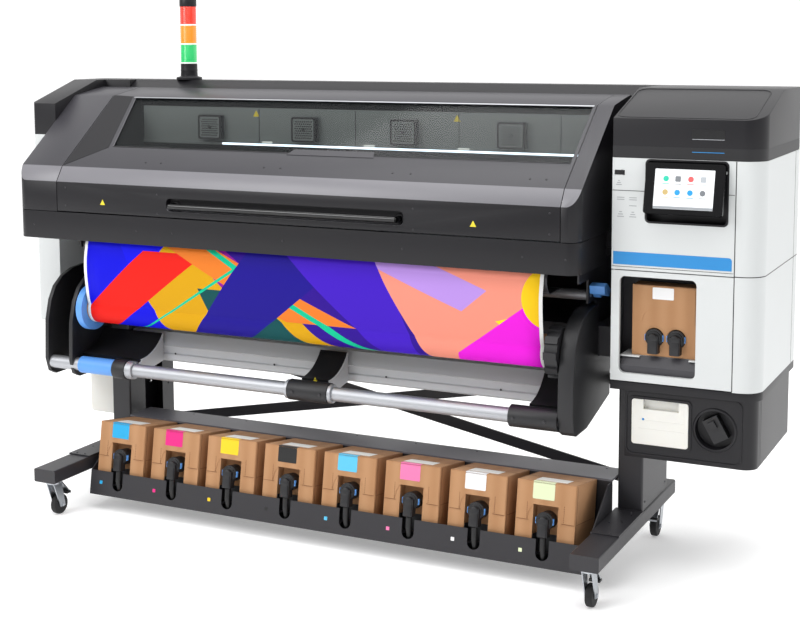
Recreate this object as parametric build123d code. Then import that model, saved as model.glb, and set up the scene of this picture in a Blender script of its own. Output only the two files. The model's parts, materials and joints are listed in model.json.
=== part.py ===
from build123d import *
import math
import os

os.makedirs("parts", exist_ok=True)

# A 64-inch roll-to-roll printer on a wheeled stand. Millimetres, +Z up, X along the
# print width, front towards -Y. Origin: centre of the footprint, on the floor.

# ---- overall sizes -------------------------------------------------------------
WIDTH = 2582.0            # left module to cabinet, outside
DEPTH = 852.0             # front of the feet to the back of the covers
HEIGHT = 1402.0           # floor to the flat top of the covers
SKIN = 4.0                # wall of the moulded covers
SHEET_METAL = 3.0         # wall of folded steel parts
GAP = 2.0                 # seam between neighbouring covers
SEAT = 0.3                # free gap between faces that pass each other
HALF_W = WIDTH / 2
BACK = DEPTH / 2
FOOT_FRONT = -DEPTH / 2

# ---- right-hand ink cabinet ----------------------------------------------------
CABINET_W = 428.0
CABINET_X0 = HALF_W - CABINET_W
CABINET_FRONT = -69.0
CABINET_Z0 = 566.0        # under the white panels
CABINET_SPLIT_Z = 893.0   # between the door and the upper front
CABINET_Z1 = 1213.0       # top of the white panels
CORNER_R = 60.0
CORNER_PANEL_W = 75.0     # rounded panel to the right of the door
CAP_FRONT_Z = 1326.0      # where the black cover starts to slope back
CAP_SLOPE_RUN = 249.0

# ---- left-hand module ----------------------------------------------------------
LEFT_W = 102.0
LEFT_FRONT = 11.0
LEFT_Z0 = 552.0
LEFT_CAP_Z0 = 1217.0
LEFT_CAP_RUN = 238.0
LEFT_CAP_BACK_X = 211.0 - HALF_W

# ---- window unit ---------------------------------------------------------------
WINDOW_X0 = -HALF_W + LEFT_W
WINDOW_X1 = HALF_W - 485.0
WINDOW_FRONT = -200.0
BEAM_Z0 = 885.0           # bottom of the front beam
TIER_Z = 979.0            # seam between the lid and the front beam
FASCIA_TOP_Z = 1079.0
BEVEL_Y, BEVEL_Z = -168.0, 1128.0
CREST_Y, CREST_Z = 121.0, 1351.0
BROW_Y, BROW_Z = 231.0, 1369.0
LID_BACK_Y, LID_BACK_Z = 286.0, 1376.0
LID_X0 = 271.0 - HALF_W
LID_X1 = HALF_W - 538.0
CHEEK_FRONT_R = 38.0
HINGE_Y, HINGE_Z = 281.0, 1364.0
HINGE_PIN_R = 4.0
HINGE_XS = (491.0 - HALF_W, HALF_W - 731.0)
KNUCKLE_W = 36.0
PIN_PLAY = 0.05
GLASS_T = 4.0
GLASS_Z0 = 1194.0         # lower edge of the clear window
GLASS_LEFT_LOW, GLASS_LEFT_HIGH, GLASS_RIGHT = 420.0 - HALF_W, 371.0 - HALF_W, HALF_W - 549.0
GLASS_LAP = 12.0
TOP_BEAM_Y = 295.0
TOP_BEAM_Z0 = 1290.0
HANDLE_X0, HANDLE_X1 = 716.0 - HALF_W, HALF_W - 1034.0
HANDLE_R = 9.0
HANDLE_OUT = 10.0         # grip centre in front of the fascia
HANDLE_Z = 1018.0
RECESS_Z0, RECESS_Z1 = 1000.0, 1042.0
RECESS_D = 26.0

# ---- print path ----------------------------------------------------------------
PLATEN_Z = 905.0
PLATEN_BACK = 250.0
PLATEN_NOSE_Y = -176.0
PLATEN_NOSE_R = 45.0
SHEET_T = 1.0
SHEET_LIFT = 1.2          # sheet clear of the faceted nose and of the turning core
MEDIA_X0 = 363.0 - HALF_W
MEDIA_W = 1626.0          # 64 in
MEDIA_X1 = MEDIA_X0 + MEDIA_W
ROLLER_R = 16.0
ROLLER_Y, ROLLER_Z = 9.0, 796.0
CHASSIS_X0, CHASSIS_X1 = 308.0 - HALF_W, HALF_W - 386.0
CHASSIS_Z0, CHASSIS_Z1 = 610.0, 700.0
CHASSIS_Y0 = 40.0
REAR_Y0 = 300.0
CARRIAGE_W = 248.0
RAIL_R = 14.0
RAIL_Y, RAIL_Z = 226.0, 1040.0
CARRIAGE_Y0, CARRIAGE_Y1 = 0.0, 110.0
CARRIAGE_Z0, CARRIAGE_Z1 = 925.0, 1180.0
DRYER_Y, DRYER_Z0 = 119.0, 1194.0
FAN_XS = (686.0 - HALF_W, -241.0, 121.0, HALF_W - 804.0)
FAN_W, FAN_H, FAN_D = 88.0, 78.0, 24.0
FAN_Z0 = 1214.0
DRYER_X0, DRYER_X1, DRYER_Z1 = 401.0 - HALF_W, HALF_W - 547.0, 1320.0
PLATEN_X0, PLATEN_X1 = 181.0 - HALF_W, HALF_W - 491.0
NOSE_MARGIN = 8.0         # nose past each edge of the media
NOSE_CUT_Y = -84.0
PLATEN_LEG_XS = (277.0 - HALF_W, -400.0, 300.0, HALF_W - 521.0)
SUPPLY_ROLL_R = 78.0
SUPPLY_Y, SUPPLY_Z = 341.0, 490.0

# ---- take-up unit --------------------------------------------------------------
TAKEUP_Y, TAKEUP_Z = -121.0, 648.0
CORE_R = 48.0
SPINDLE_R = 20.0
HUB_R = 77.0
PLATE_R_X0, PLATE_R_X1 = HALF_W - 546.0, HALF_W - 499.0
PLATE_L_X0, PLATE_L_X1 = 191.0 - HALF_W, 306.0 - HALF_W
PLATE_WEB = 14.0
BAR_Y, BAR_Z, BAR_R = -163.0, 455.0, 22.0
RING_R = 33.0
BRACKETS = (               # face x0, x1 and ring x0, x1 of each
    (PLATE_L_X1, PLATE_L_X1 + 243.0, PLATE_L_X1 + 164.0, PLATE_L_X1 + 213.0),
    (-126.0, -28.0, -148.0, -7.0),
    (PLATE_R_X0 - 105.0, PLATE_R_X0, PLATE_R_X0 - 150.0, PLATE_R_X0))
SLEEVE_X0, SLEEVE_X1, SLEEVE_R = 328.0 - HALF_W, 468.0 - HALF_W, 28.0
TBEAM_Y0, TBEAM_Y1 = -10.0, 62.0
TBEAM_Z0, TBEAM_Z1 = 458.0, 553.0

# ---- stand ---------------------------------------------------------------------
FOOT_W, FOOT_H = 84.0, 44.0
FOOT_Z0 = 121.5
FOOT_X = (369.5 - HALF_W, HALF_W - 381.4)
FOOT_BACK = 341.0
COLUMN_W = 76.0
COLUMN_Y0, COLUMN_Y1 = -9.0, 256.0
FOOT_TOP = FOOT_Z0 + FOOT_H
COVER_T = 4.0
BRACE_W, BRACE_T = 34.0, 5.0
BRACE_Y = 188.0
BRACE_TOP_Z = 520.0

# ---- casters -------------------------------------------------------------------
CASTER_INSET = 45.0
WHEEL_R = 32.5
WHEEL_T = 22.0
CASTER_TRAIL = 24.0
AXLE_R = 4.0
STEM_R = 7.0

# ---- ink tray and cartons ------------------------------------------------------
TRAY_FRONT, TRAY_Z0, TRAY_WALL_H = -272.0, 50.0, 79.0
TRAY_SIDE_GAP = 17.0
TRAY_LEAN = 9.3
CARTON_N = 8
CARTON_W, CARTON_D, CARTON_H = 180.0, 180.0, 205.0
CARTON_GAP = 32.0
CARTON_PITCH = CARTON_W + CARTON_GAP
CARTON_MID_X = -12.0
CARTON_TOP_Y, CARTON_TOP_Z = -222.0, 287.5
NICHE_W, NICHE_Z, NICHE_D = 76.0, 62.0, 34.0
SHELF_D = 118.0
SUPPLY_FRONT = -31.0
SUPPLY_PORTS = (HALF_W - 309.0, HALF_W - 245.0)
SUPPLY_PORT_Z = 695.0
SUPPLY_X0, SUPPLY_X1 = HALF_W - 375.0, HALF_W - 187.0
SUPPLY_Z0, SUPPLY_Z1 = 641.0, 846.0
SHELF_T = 6.0

# ---- cabinet fittings ----------------------------------------------------------
SCREEN_X0, SCREEN_X1 = HALF_W - 325.0, HALF_W - 102.0
SCREEN_Z0, SCREEN_Z1 = 1060.0, 1204.0
SCREEN_LEAN = 13.0
SCREEN_T = 12.0
POCKET_X0, POCKET_X1, POCKET_D = HALF_W - 330.0, HALF_W - 97.0, 44.0
SCREEN_PIVOT_Y, SCREEN_PIVOT_Z = -64.0, 1180.0
SWITCH_X, SWITCH_Z = HALF_W - 407.0, 1171.0
DOOR_PIVOT_X, DOOR_PIVOT_Y = HALF_W - 421.0, -63.0
DOOR_T = 12.0
DOOR_WINDOW = (HALF_W - 403.0, HALF_W - 180.0, 592.0, 874.0)   # x0, x1, z0, z1
BAND_Z0 = 542.0
HOUSING_X0, HOUSING_X1 = HALF_W - 388.0, HALF_W - 10.0
HOUSING_Y0, HOUSING_Y1 = -49.0, 410.0
HOUSING_Z0 = 342.0
WASTE_X0, WASTE_X1, WASTE_Z0, WASTE_Z1 = HALF_W - 367.0, HALF_W - 201.0, 383.0, 515.0
PORT_X, PORT_Z, PORT_R = HALF_W - 125.0, 448.0, 56.0
CASSETTE_TURN = -30.0     # leaning to the left, seen from the front
CASSETTE_W, CASSETTE_H = 46.0, 72.0
TOWER_X, TOWER_Y, TOWER_R, TOWER_H = 421.0 - HALF_W, 372.0, 31.0, 292.0
LEVER_Y, LEVER_Z = 38.0, 800.0


def block(x0, x1, y0, y1, z0, z1):
    """A box given by its six faces."""
    size = Box(x1 - x0, y1 - y0, z1 - z0)
    return Pos((x0 + x1) / 2, (y0 + y1) / 2, (z0 + z1) / 2) * size


def rod(x0, x1, y, z, r):
    """A round bar along X."""
    return Pos((x0 + x1) / 2, y, z) * Rot(0, 90, 0) * Cylinder(r, x1 - x0)


def post(x, y, z0, z1, r):
    """A round bar along Z."""
    return Pos(x, y, (z0 + z1) / 2) * Cylinder(r, z1 - z0)


def stub(x, z, y0, y1, r):
    """A round bar along Y."""
    return Pos(x, (y0 + y1) / 2, z) * Rot(90, 0, 0) * Cylinder(r, y1 - y0)


def prism(points, x0, x1):
    """A (y, z) outline drawn out along X."""
    face = Plane.YZ.offset(x0) * make_face(Polyline(*points, close=True))
    return extrude(face, amount=x1 - x0)


def prism_y(points, y0, y1):
    """An (x, z) outline drawn out along Y."""
    plane = Plane(origin=(0, y0, 0), x_dir=(1, 0, 0), z_dir=(0, -1, 0))
    return extrude(plane * make_face(Polyline(*points, close=True)), amount=-(y1 - y0))


def along(points, offset):
    """The open polyline moved sideways by offset, to its right-hand side."""
    moved = []
    for i, (y, z) in enumerate(points):
        before = points[max(i - 1, 0)]
        after = points[min(i + 1, len(points) - 1)]
        n1 = unit_normal(before, (y, z)) if i > 0 else unit_normal((y, z), after)
        n2 = unit_normal((y, z), after) if i < len(points) - 1 else n1
        scale = offset / (1 + n1[0] * n2[0] + n1[1] * n2[1])
        moved.append((y + (n1[0] + n2[0]) * scale, z + (n1[1] + n2[1]) * scale))
    return moved


def unit_normal(a, b):
    """The right-hand normal of the line from a to b."""
    dy, dz = b[0] - a[0], b[1] - a[1]
    length = math.hypot(dy, dz)
    return dz / length, -dy / length


def skin(points, thickness):
    """A closed outline of a bent wall whose outer face follows the points."""
    return points + along(points, thickness)[::-1]


def on_crest_line(z):
    """The y of the sloping window plane at a height z."""
    return BEVEL_Y + (z - BEVEL_Z) * (CREST_Y - BEVEL_Y) / (CREST_Z - BEVEL_Z)


def lid_profile(z0):
    """The outer line of the window unit, from the fascia's foot to the hinge seam."""
    return [(WINDOW_FRONT, z0), (WINDOW_FRONT, FASCIA_TOP_Z), (BEVEL_Y, BEVEL_Z),
            (CREST_Y, CREST_Z), (BROW_Y, BROW_Z), (LID_BACK_Y, LID_BACK_Z)]


def round_corner(solid, x, y, radius):
    """The upright edges of a solid near (x, y), rounded."""
    edges = [e for e in solid.edges().filter_by(Axis.Z)
             if abs(e.center().X - x) < 1 and abs(e.center().Y - y) < 1]
    return fillet(edges, radius)


# ---- stand ---------------------------------------------------------------------
def foot(x):
    """One box-section foot with a bored seat for a caster stem near each end."""
    outer = block(x - FOOT_W / 2, x + FOOT_W / 2, FOOT_FRONT, FOOT_BACK, FOOT_Z0, FOOT_TOP)
    outer = fillet(outer.edges().filter_by(Axis.Y), 5)
    inner = block(x - FOOT_W / 2 + SHEET_METAL, x + FOOT_W / 2 - SHEET_METAL, FOOT_FRONT + SHEET_METAL,
                  FOOT_BACK - SHEET_METAL, FOOT_Z0 + SHEET_METAL, FOOT_TOP - SHEET_METAL)
    made = outer - inner
    for y in caster_ys():
        made += post(x, y, FOOT_Z0, FOOT_TOP - SHEET_METAL, STEM_R + 7)
        made -= post(x, y, FOOT_Z0 - 1, FOOT_Z0 + 34, STEM_R + PIN_PLAY)
    return made


def caster_ys():
    return FOOT_FRONT + CASTER_INSET, FOOT_BACK - CASTER_INSET


def column(x, side):
    """An upright channel: closed on its outer side, open in the middle of its inner side."""
    x0, x1 = x - COLUMN_W / 2, x + COLUMN_W / 2
    top = CHASSIS_Z0
    outer = block(x0, x1, COLUMN_Y0, COLUMN_Y1, FOOT_TOP, top)
    outer = fillet(outer.edges().filter_by(Axis.Z), 6)
    inner = block(x0 + SHEET_METAL, x1 - SHEET_METAL, COLUMN_Y0 + SHEET_METAL,
                  COLUMN_Y1 - SHEET_METAL, FOOT_TOP - 1, top + 1)
    slot_x0 = x0 - 1 if side > 0 else x
    slot_x1 = x if side > 0 else x1 + 1
    slot = block(slot_x0, slot_x1, COLUMN_Y0 + 88, COLUMN_Y1 - 72, FOOT_TOP - 1, top + 1)
    made = outer - inner - slot
    for z in (FOOT_TOP + 150, FOOT_TOP + 172):
        made -= rod(x0 - 1, x1 + 1, COLUMN_Y1 - 38, z, 4)
    return made


def foot_covers():
    """Folded cover plates on the feet, in front of the columns."""
    made = []
    for x in FOOT_X:
        plate = block(x - FOOT_W / 2, x + FOOT_W / 2, FOOT_FRONT + 178, COLUMN_Y0 - SEAT,
                      FOOT_TOP, FOOT_TOP + COVER_T)
        for dx, y in ((-18, -150), (14, -128), (20, -60)):
            plate -= post(x + dx, y, FOOT_TOP - 1, FOOT_TOP + COVER_T + 1, 3.5)
        made.append(plate)
    return Compound(children=made)


def brace_bar(x0, z0, x1, z1, y0):
    """A flat steel bar between two points of the X brace."""
    length = math.hypot(x1 - x0, z1 - z0)
    angle = math.degrees(math.atan2(z1 - z0, x1 - x0))
    bar = Box(length, BRACE_T, BRACE_W)
    return Pos((x0 + x1) / 2, y0 + BRACE_T / 2, (z0 + z1) / 2) * Rot(0, -angle, 0) * bar


def brace(z_left, z_right, y0, y1):
    """One flat bar of the X brace with a lug to each column."""
    left_face = FOOT_X[0] + COLUMN_W / 2
    right_face = FOOT_X[1] - COLUMN_W / 2
    made = brace_bar(left_face + 8, z_left, right_face - 8, z_right, y0)
    made += block(left_face, left_face + 30, y0, y1, z_left - BRACE_W / 2, z_left + BRACE_W / 2)
    return made + block(right_face - 30, right_face, y0, y1, z_right - BRACE_W / 2, z_right + BRACE_W / 2)


def brace_front():
    return brace(BRACE_TOP_Z, FOOT_TOP + 28, BRACE_Y, BRACE_Y + BRACE_T)


def brace_rear():
    return brace(FOOT_TOP + 28, BRACE_TOP_Z, BRACE_Y + BRACE_T + 1, BRACE_Y + 2 * BRACE_T + 1)


# ---- casters -------------------------------------------------------------------
def caster_wheel(x, y):
    """A rubber wheel with a bore for its axle."""
    wheel = rod(x - WHEEL_T / 2, x + WHEEL_T / 2, y, WHEEL_R, WHEEL_R)
    wheel = fillet(wheel.edges().filter_by(GeomType.CIRCLE), 5)
    return wheel - rod(x - WHEEL_T, x + WHEEL_T, y, WHEEL_R, AXLE_R + PIN_PLAY)


def caster_fork(x, y, wheel_y):
    """A pressed fork with stem, bearing head, axle and brake pedal."""
    head_z = FOOT_Z0 - SEAT
    made = post(x, y, head_z - 12, head_z, 24)
    made += post(x, y, head_z, head_z + 32, STEM_R)
    side = 1 if wheel_y > y else -1
    for s in (-1, 1):
        cheek_x0 = x + s * (WHEEL_T / 2 + 2)
        cheek_x1 = x + s * (WHEEL_T / 2 + 5)
        outline = [(y - side * 20, head_z - 8), (y + side * 20, head_z - 8),
                   (wheel_y + side * 12, WHEEL_R - 6), (wheel_y - side * 12, WHEEL_R - 6)]
        made += prism(outline, min(cheek_x0, cheek_x1), max(cheek_x0, cheek_x1))
    made += rod(x - WHEEL_T / 2 - 7, x + WHEEL_T / 2 + 7, wheel_y, WHEEL_R, AXLE_R)
    pedal_y = wheel_y + side * (WHEEL_R + 10)
    pedal = prism([(y + side * 18, head_z - 12), (pedal_y, 58), (pedal_y, 63), (y + side * 18, head_z - 5)],
                  x - 15, x + 15)
    return made + pedal


# ---- ink tray ------------------------------------------------------------------
def tray_ends():
    """The tray's end faces, clear of the feet."""
    return FOOT_X[0] + FOOT_W / 2 + TRAY_SIDE_GAP, FOOT_X[1] - FOOT_W / 2 - SEAT * 10


def carton_xs():
    first = CARTON_MID_X - CARTON_PITCH * (CARTON_N - 1) / 2
    return [first + i * CARTON_PITCH for i in range(CARTON_N)]


def leaning(x=0.0):
    """The frame of a carton: its origin is the middle of the front top edge."""
    return Pos(x, CARTON_TOP_Y, CARTON_TOP_Z) * Rot(-TRAY_LEAN, 0, 0)


def carton_back_y():
    lean = math.radians(TRAY_LEAN)
    return CARTON_TOP_Y + CARTON_D * math.cos(lean)


def shelf_z():
    return CARTON_TOP_Z - CARTON_D * math.sin(math.radians(TRAY_LEAN)) + 3


def ink_tray():
    """A folded tray between the feet: leaning front wall, rest plate, back and end plates."""
    x0, x1 = tray_ends()
    lean = math.tan(math.radians(TRAY_LEAN))
    top_z = TRAY_Z0 + TRAY_WALL_H
    top_y = TRAY_FRONT + TRAY_WALL_H * lean
    back_y = carton_back_y() + 6
    wall_top = shelf_z() - SHELF_T
    outline = [(top_y, top_z), (TRAY_FRONT, TRAY_Z0), (back_y + SHEET_METAL, TRAY_Z0),
               (back_y + SHEET_METAL, wall_top)]
    made = prism(skin(outline, -SHEET_METAL), x0, x1)
    rest = Box(x1 - x0, CARTON_D + 8, SHEET_METAL)
    made += leaning((x0 + x1) / 2) * Pos(0, CARTON_D / 2 - 4, -CARTON_H - SHEET_METAL / 2) * rest
    end_plate = [(top_y, top_z), (TRAY_FRONT, TRAY_Z0), (back_y + SHEET_METAL, TRAY_Z0),
                 (back_y + SHEET_METAL, wall_top), (back_y - 36, wall_top)]
    for x in (x0, x1 - SHEET_METAL):
        made += prism(end_plate, x, x + SHEET_METAL)
    for x in carton_xs():
        made -= hose_slot(x)
    return made


def hose_slot(x):
    """A round-ended slot in the tray's front wall, for an ink hose."""
    low = TRAY_Z0 + 40
    reach = TRAY_FRONT + 38
    return (block(x - 20, x + 20, TRAY_FRONT - 9, reach, low, TRAY_Z0 + TRAY_WALL_H + 9)
            + stub(x, low, TRAY_FRONT - 9, reach, 20))


def tray_shelf():
    """The folded shelf behind the cartons, with a lip at its front edge."""
    x0, x1 = tray_ends()
    y0 = carton_back_y() + 5
    z1 = shelf_z()
    made = block(x0, x1, y0, y0 + SHELF_D, z1 - SHELF_T, z1)
    for i in range(CARTON_N):
        made -= post(carton_xs()[i] + CARTON_PITCH / 2 - 20, y0 + SHELF_D - 18, z1 - 9, z1 + 1, 4)
    return made


def cartons():
    """Eight identical cartons with a niche for the hose connector."""
    made = []
    for x in carton_xs():
        carton = Pos(0, CARTON_D / 2, -CARTON_H / 2) * Box(CARTON_W, CARTON_D, CARTON_H)
        niche_h = CARTON_H - NICHE_Z
        carton -= Pos(0, NICHE_D / 2, -NICHE_Z - niche_h / 2) * Box(NICHE_W, NICHE_D, niche_h + 2)
        carton -= Pos(0, NICHE_D + 8, -NICHE_Z - 48) * Rot(90, 0, 0) * Cylinder(16 + SEAT, 18)
        made.append(leaning(x) * carton)
    return Compound(children=made)


def connector(place):
    """A push-on hose connector: spigot, round body and elbow."""
    body = place * (Pos(0, NICHE_D + 6, 0) * Rot(90, 0, 0) * Cylinder(16, 14))
    body += place * (Pos(0, NICHE_D / 2 - 4, 0) * Rot(90, 0, 0) * Cylinder(26, NICHE_D + 6))
    body += place * (Pos(0, -8, -18) * Box(30, 26, 52))
    return body


def connectors():
    """The eight tray connectors and the two in the cabinet."""
    made = [connector(leaning(x) * Pos(0, 0, -NICHE_Z - 48)) for x in carton_xs()]
    made += [connector(Pos(x, SUPPLY_FRONT, SUPPLY_PORT_Z)) for x in SUPPLY_PORTS]
    return Compound(children=made)


def hose_path(x):
    """A short hose from a tray connector down through its slot."""
    start = leaning(x) * Pos(0, -8, -NICHE_Z - 48 - 47)
    p = start.position
    return [(x, p.Y, p.Z), (x, p.Y - 4, p.Z - 32), (x, p.Y + 4, TRAY_Z0 + 16), (x, p.Y + 30, TRAY_Z0 + 15)]


def ink_hoses():
    """Eight hoses that dip through the tray's slots."""
    made = []
    for x in carton_xs():
        path = FilletPolyline(*hose_path(x), radius=16)
        section = Plane(origin=path @ 0, z_dir=path % 0) * Circle(9)
        made.append(sweep(section, path=path))
    return Compound(children=made)


# ---- chassis -------------------------------------------------------------------
def hollow(x0, x1, y0, y1, z0, z1, wall):
    return block(x0, x1, y0, y1, z0, z1) - block(x0 + wall, x1 - wall, y0 + wall, y1 - wall, z0 + wall,
                                                 z1 - wall)


def chassis():
    """The lower box beam on the columns and the rear box behind the print path."""
    rear_x0, rear_x1 = WINDOW_X0 + SEAT, CABINET_X0 - SEAT
    made = hollow(CHASSIS_X0, CHASSIS_X1, CHASSIS_Y0, REAR_Y0 + SKIN, CHASSIS_Z0, CHASSIS_Z1, SKIN)
    made += hollow(rear_x0, rear_x1, REAR_Y0, BACK - SKIN, CHASSIS_Z0, TOP_BEAM_Z0 - SEAT, SKIN)
    for x in PLATEN_LEG_XS:
        made += block(x, x + 6, CHASSIS_Y0 + 20, REAR_Y0, CHASSIS_Z1 - 1, PLATEN_Z - 60)
    return made


def platen():
    """The print platen: flat bed, round nose and a turned-back lower lip."""
    nose_z = PLATEN_Z - PLATEN_NOSE_R
    line = [(PLATEN_BACK, PLATEN_Z)]
    for i in range(9):
        a = math.radians(90 + i * 22.5 * 0.875)
        line.append((PLATEN_NOSE_Y + PLATEN_NOSE_R + PLATEN_NOSE_R * math.cos(a),
                     nose_z + PLATEN_NOSE_R * math.sin(a)))
    line.append((PLATEN_NOSE_Y + 120, nose_z - PLATEN_NOSE_R + 4))
    made = prism(skin(line, -SHEET_METAL), PLATEN_X0, PLATEN_X1)
    for xa, xb in ((PLATEN_X0 - 1, MEDIA_X0 - NOSE_MARGIN), (MEDIA_X1 + NOSE_MARGIN, PLATEN_X1 + 1)):
        made -= block(xa, xb, PLATEN_NOSE_Y - 1, NOSE_CUT_Y, PLATEN_Z - 2 * PLATEN_NOSE_R - 1, PLATEN_Z + 1)
        made -= block(xa, xb, PLATEN_NOSE_Y - 1, 0, PLATEN_Z - 2 * PLATEN_NOSE_R - 1, nose_z)
    for x in PLATEN_LEG_XS:
        made += block(x, x + 6, PLATEN_NOSE_Y + 80, PLATEN_BACK, PLATEN_Z - 60, PLATEN_Z - SHEET_METAL)
    return made


def sheet():
    """The printed sheet: over the platen's nose, down and round the take-up roll."""
    y0 = PLATEN_NOSE_Y + PLATEN_NOSE_R
    z0 = PLATEN_Z + SHEET_LIFT
    nose_r = PLATEN_NOSE_R + SHEET_LIFT
    line = [(y0 + 60, z0)]
    for i in range(7):
        a = math.radians(90 + i * 15)
        line.append((y0 + nose_r * math.cos(a), PLATEN_Z - PLATEN_NOSE_R + nose_r * math.sin(a)))
    line += [(PLATEN_NOSE_Y - 16, PLATEN_Z - 88), (PLATEN_NOSE_Y - 19, PLATEN_Z - 130),
             (PLATEN_NOSE_Y - 8, PLATEN_Z - 190)]
    roll_r = CORE_R + SHEET_T + SHEET_LIFT
    for i in range(9):
        a = math.radians(180 + i * 12)
        line.append((TAKEUP_Y + roll_r * math.cos(a), TAKEUP_Z + roll_r * math.sin(a)))
    return prism(skin(line, SHEET_T), MEDIA_X0, MEDIA_X1)


def feed_roller():
    """The metal roller under the platen, with a journal at each end."""
    x0, x1 = PLATEN_LEG_XS[0] + 6 + GAP, PLATEN_LEG_XS[-1] - GAP
    made = rod(x0, x1, ROLLER_Y, ROLLER_Z, ROLLER_R)
    return made + rod(x0 - 9, x1 + 9, ROLLER_Y, ROLLER_Z, 6)


def sleeve(x0, x1, y, z, outer, inner):
    """A round tube along X."""
    return rod(x0, x1, y, z, outer) - rod(x0 - 1, x1 + 1, y, z, inner)


def spindle_bracket(x, y, z, drop_to, journal_r):
    """A flat hanger with a bore for a journal along X."""
    plate = block(x - 5, x + 5, y - 30, y + 30, z, drop_to)
    plate += rod(x - 5, x + 5, y, z, 30)
    return plate - rod(x - 6, x + 6, y, z, journal_r + PIN_PLAY)


def roller_bearings():
    """Bearing plates that carry the feed roller, on the outer platen legs."""
    made = []
    for x in (PLATEN_LEG_XS[0], PLATEN_LEG_XS[-1]):
        plate = block(x, x + 6, ROLLER_Y - 22, CHASSIS_Y0 + 20, ROLLER_Z - 22, PLATEN_Z - 60)
        made.append(plate - rod(x - 1, x + 7, ROLLER_Y, ROLLER_Z, 6 + PIN_PLAY))
    return made


# ---- take-up unit --------------------------------------------------------------
def plate_outline():
    """The side of a take-up end plate, clear of the chassis beam behind it."""
    return [(-150, 410), (-176, 424), (-190, 470), (-184, 600), (-166, 668), (-140, 712), (-100, 742),
            (-50, 760), (7, 766), (CHASSIS_Y0 - SEAT, 766), (CHASSIS_Y0 - SEAT, CHASSIS_Z0 - GAP),
            (156, CHASSIS_Z0 - GAP), (156, 467), (-60, 412)]


def takeup_plate_right():
    made = prism(plate_outline(), PLATE_R_X0, PLATE_R_X1)
    made -= rod(PLATE_R_X0 - 1, PLATE_R_X0 + 30, TAKEUP_Y, TAKEUP_Z, SPINDLE_R + PIN_PLAY)
    return made


def takeup_plate_left():
    """Outer and inner end plates with a web between them at the back."""
    made = prism(plate_outline(), PLATE_L_X0, PLATE_L_X0 + PLATE_WEB)
    made += prism(plate_outline(), PLATE_L_X1 - PLATE_WEB, PLATE_L_X1)
    made += block(PLATE_L_X0 + PLATE_WEB - 1, PLATE_L_X1 - PLATE_WEB + 1, 18, CHASSIS_Y0 - SEAT, 470, 760)
    made -= rod(PLATE_L_X1 - PLATE_WEB - 1, PLATE_L_X1 + 1, TAKEUP_Y, TAKEUP_Z, SPINDLE_R + PIN_PLAY)
    made -= rod(PLATE_L_X1 - PLATE_WEB - 1, PLATE_L_X1 + 1, BAR_Y, BAR_Z, BAR_R + PIN_PLAY)
    return made


def takeup_beam():
    """The two-tier extruded beam between the end plates."""
    y0, y1, z0, z1 = TBEAM_Y0, TBEAM_Y1, TBEAM_Z0, TBEAM_Z1
    outline = [(y0, z0 + 6), (y0, z0 + 24), (y0 + 5, z0 + 28), (y0 + 5, z0 + 50), (y0, z0 + 54),
               (y0 + 26, z1), (y1, z1), (y1, z0), (y0 + 6, z0)]
    inner = [(y0 + 10, z0 + 8), (y0 + 10, z0 + 52), (y0 + 30, z1 - 6), (y1 - 5, z1 - 6), (y1 - 5, z0 + 8)]
    x0, x1 = FOOT_X[0] + COLUMN_W / 2 + SEAT * 10, PLATE_R_X0
    return prism(outline, x0, x1) - prism(inner, x0 - 1, x1 + 1)


def scoop(x0, x1, ring_x0, ring_x1):
    """A curved bracket from the beam to a ring round the front bar."""
    centre_y, centre_z, radius = -135.0, 640.0, 152.0
    curve = []
    for i in range(9):
        a = math.radians(-35 - 7 * i)
        curve.append((centre_y + radius * math.cos(a), centre_z + radius * math.sin(a)))
    front = BAR_Y + BAR_R + 7
    outline = curve + [(front, curve[-1][1]), (front, BAR_Z - 18), (TBEAM_Y0, TBEAM_Z0 + 2)]
    outline = [(min(y, TBEAM_Y0), z) for y, z in outline]
    made = prism(outline, x0, x1) + rod(ring_x0, ring_x1, BAR_Y, BAR_Z, RING_R)
    return made - rod(min(x0, ring_x0) - 1, max(x1, ring_x1) + 1, BAR_Y, BAR_Z, BAR_R + PIN_PLAY)


def scoops():
    return Compound(children=[scoop(*bracket) for bracket in BRACKETS])


def front_bar():
    return rod(PLATE_L_X0 + PLATE_WEB, PLATE_R_X0, BAR_Y, BAR_Z, BAR_R)


def takeup_core():
    """The core tube on its spindle, with a journal at each end."""
    x0, x1 = MEDIA_X0 - 6, MEDIA_X1 + 6
    made = rod(x0, x1, TAKEUP_Y, TAKEUP_Z, CORE_R)
    return made + rod(PLATE_L_X1 - PLATE_WEB, PLATE_R_X0 + 26, TAKEUP_Y, TAKEUP_Z, SPINDLE_R)


def hub(x0, x1, outer):
    """A round hub pressed on the take-up spindle."""
    return sleeve(x0, x1, TAKEUP_Y, TAKEUP_Z, outer, SPINDLE_R)


def hub_right():
    """The knurled driving hub: a disc with grip pads round its edge."""
    x0, x1 = MEDIA_X1 + 6, PLATE_R_X0 - GAP
    made = hub(x0, x1, HUB_R - 6)
    for i in range(10):
        pad = Pos(0, HUB_R - 5, 0) * Box(x1 - x0, 12, 22)
        made += Pos((x0 + x1) / 2, TAKEUP_Y, TAKEUP_Z) * Rot(36 * i, 0, 0) * pad
    return made - rod(x0 - 1, x1 + 1, TAKEUP_Y, TAKEUP_Z, SPINDLE_R)


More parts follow.
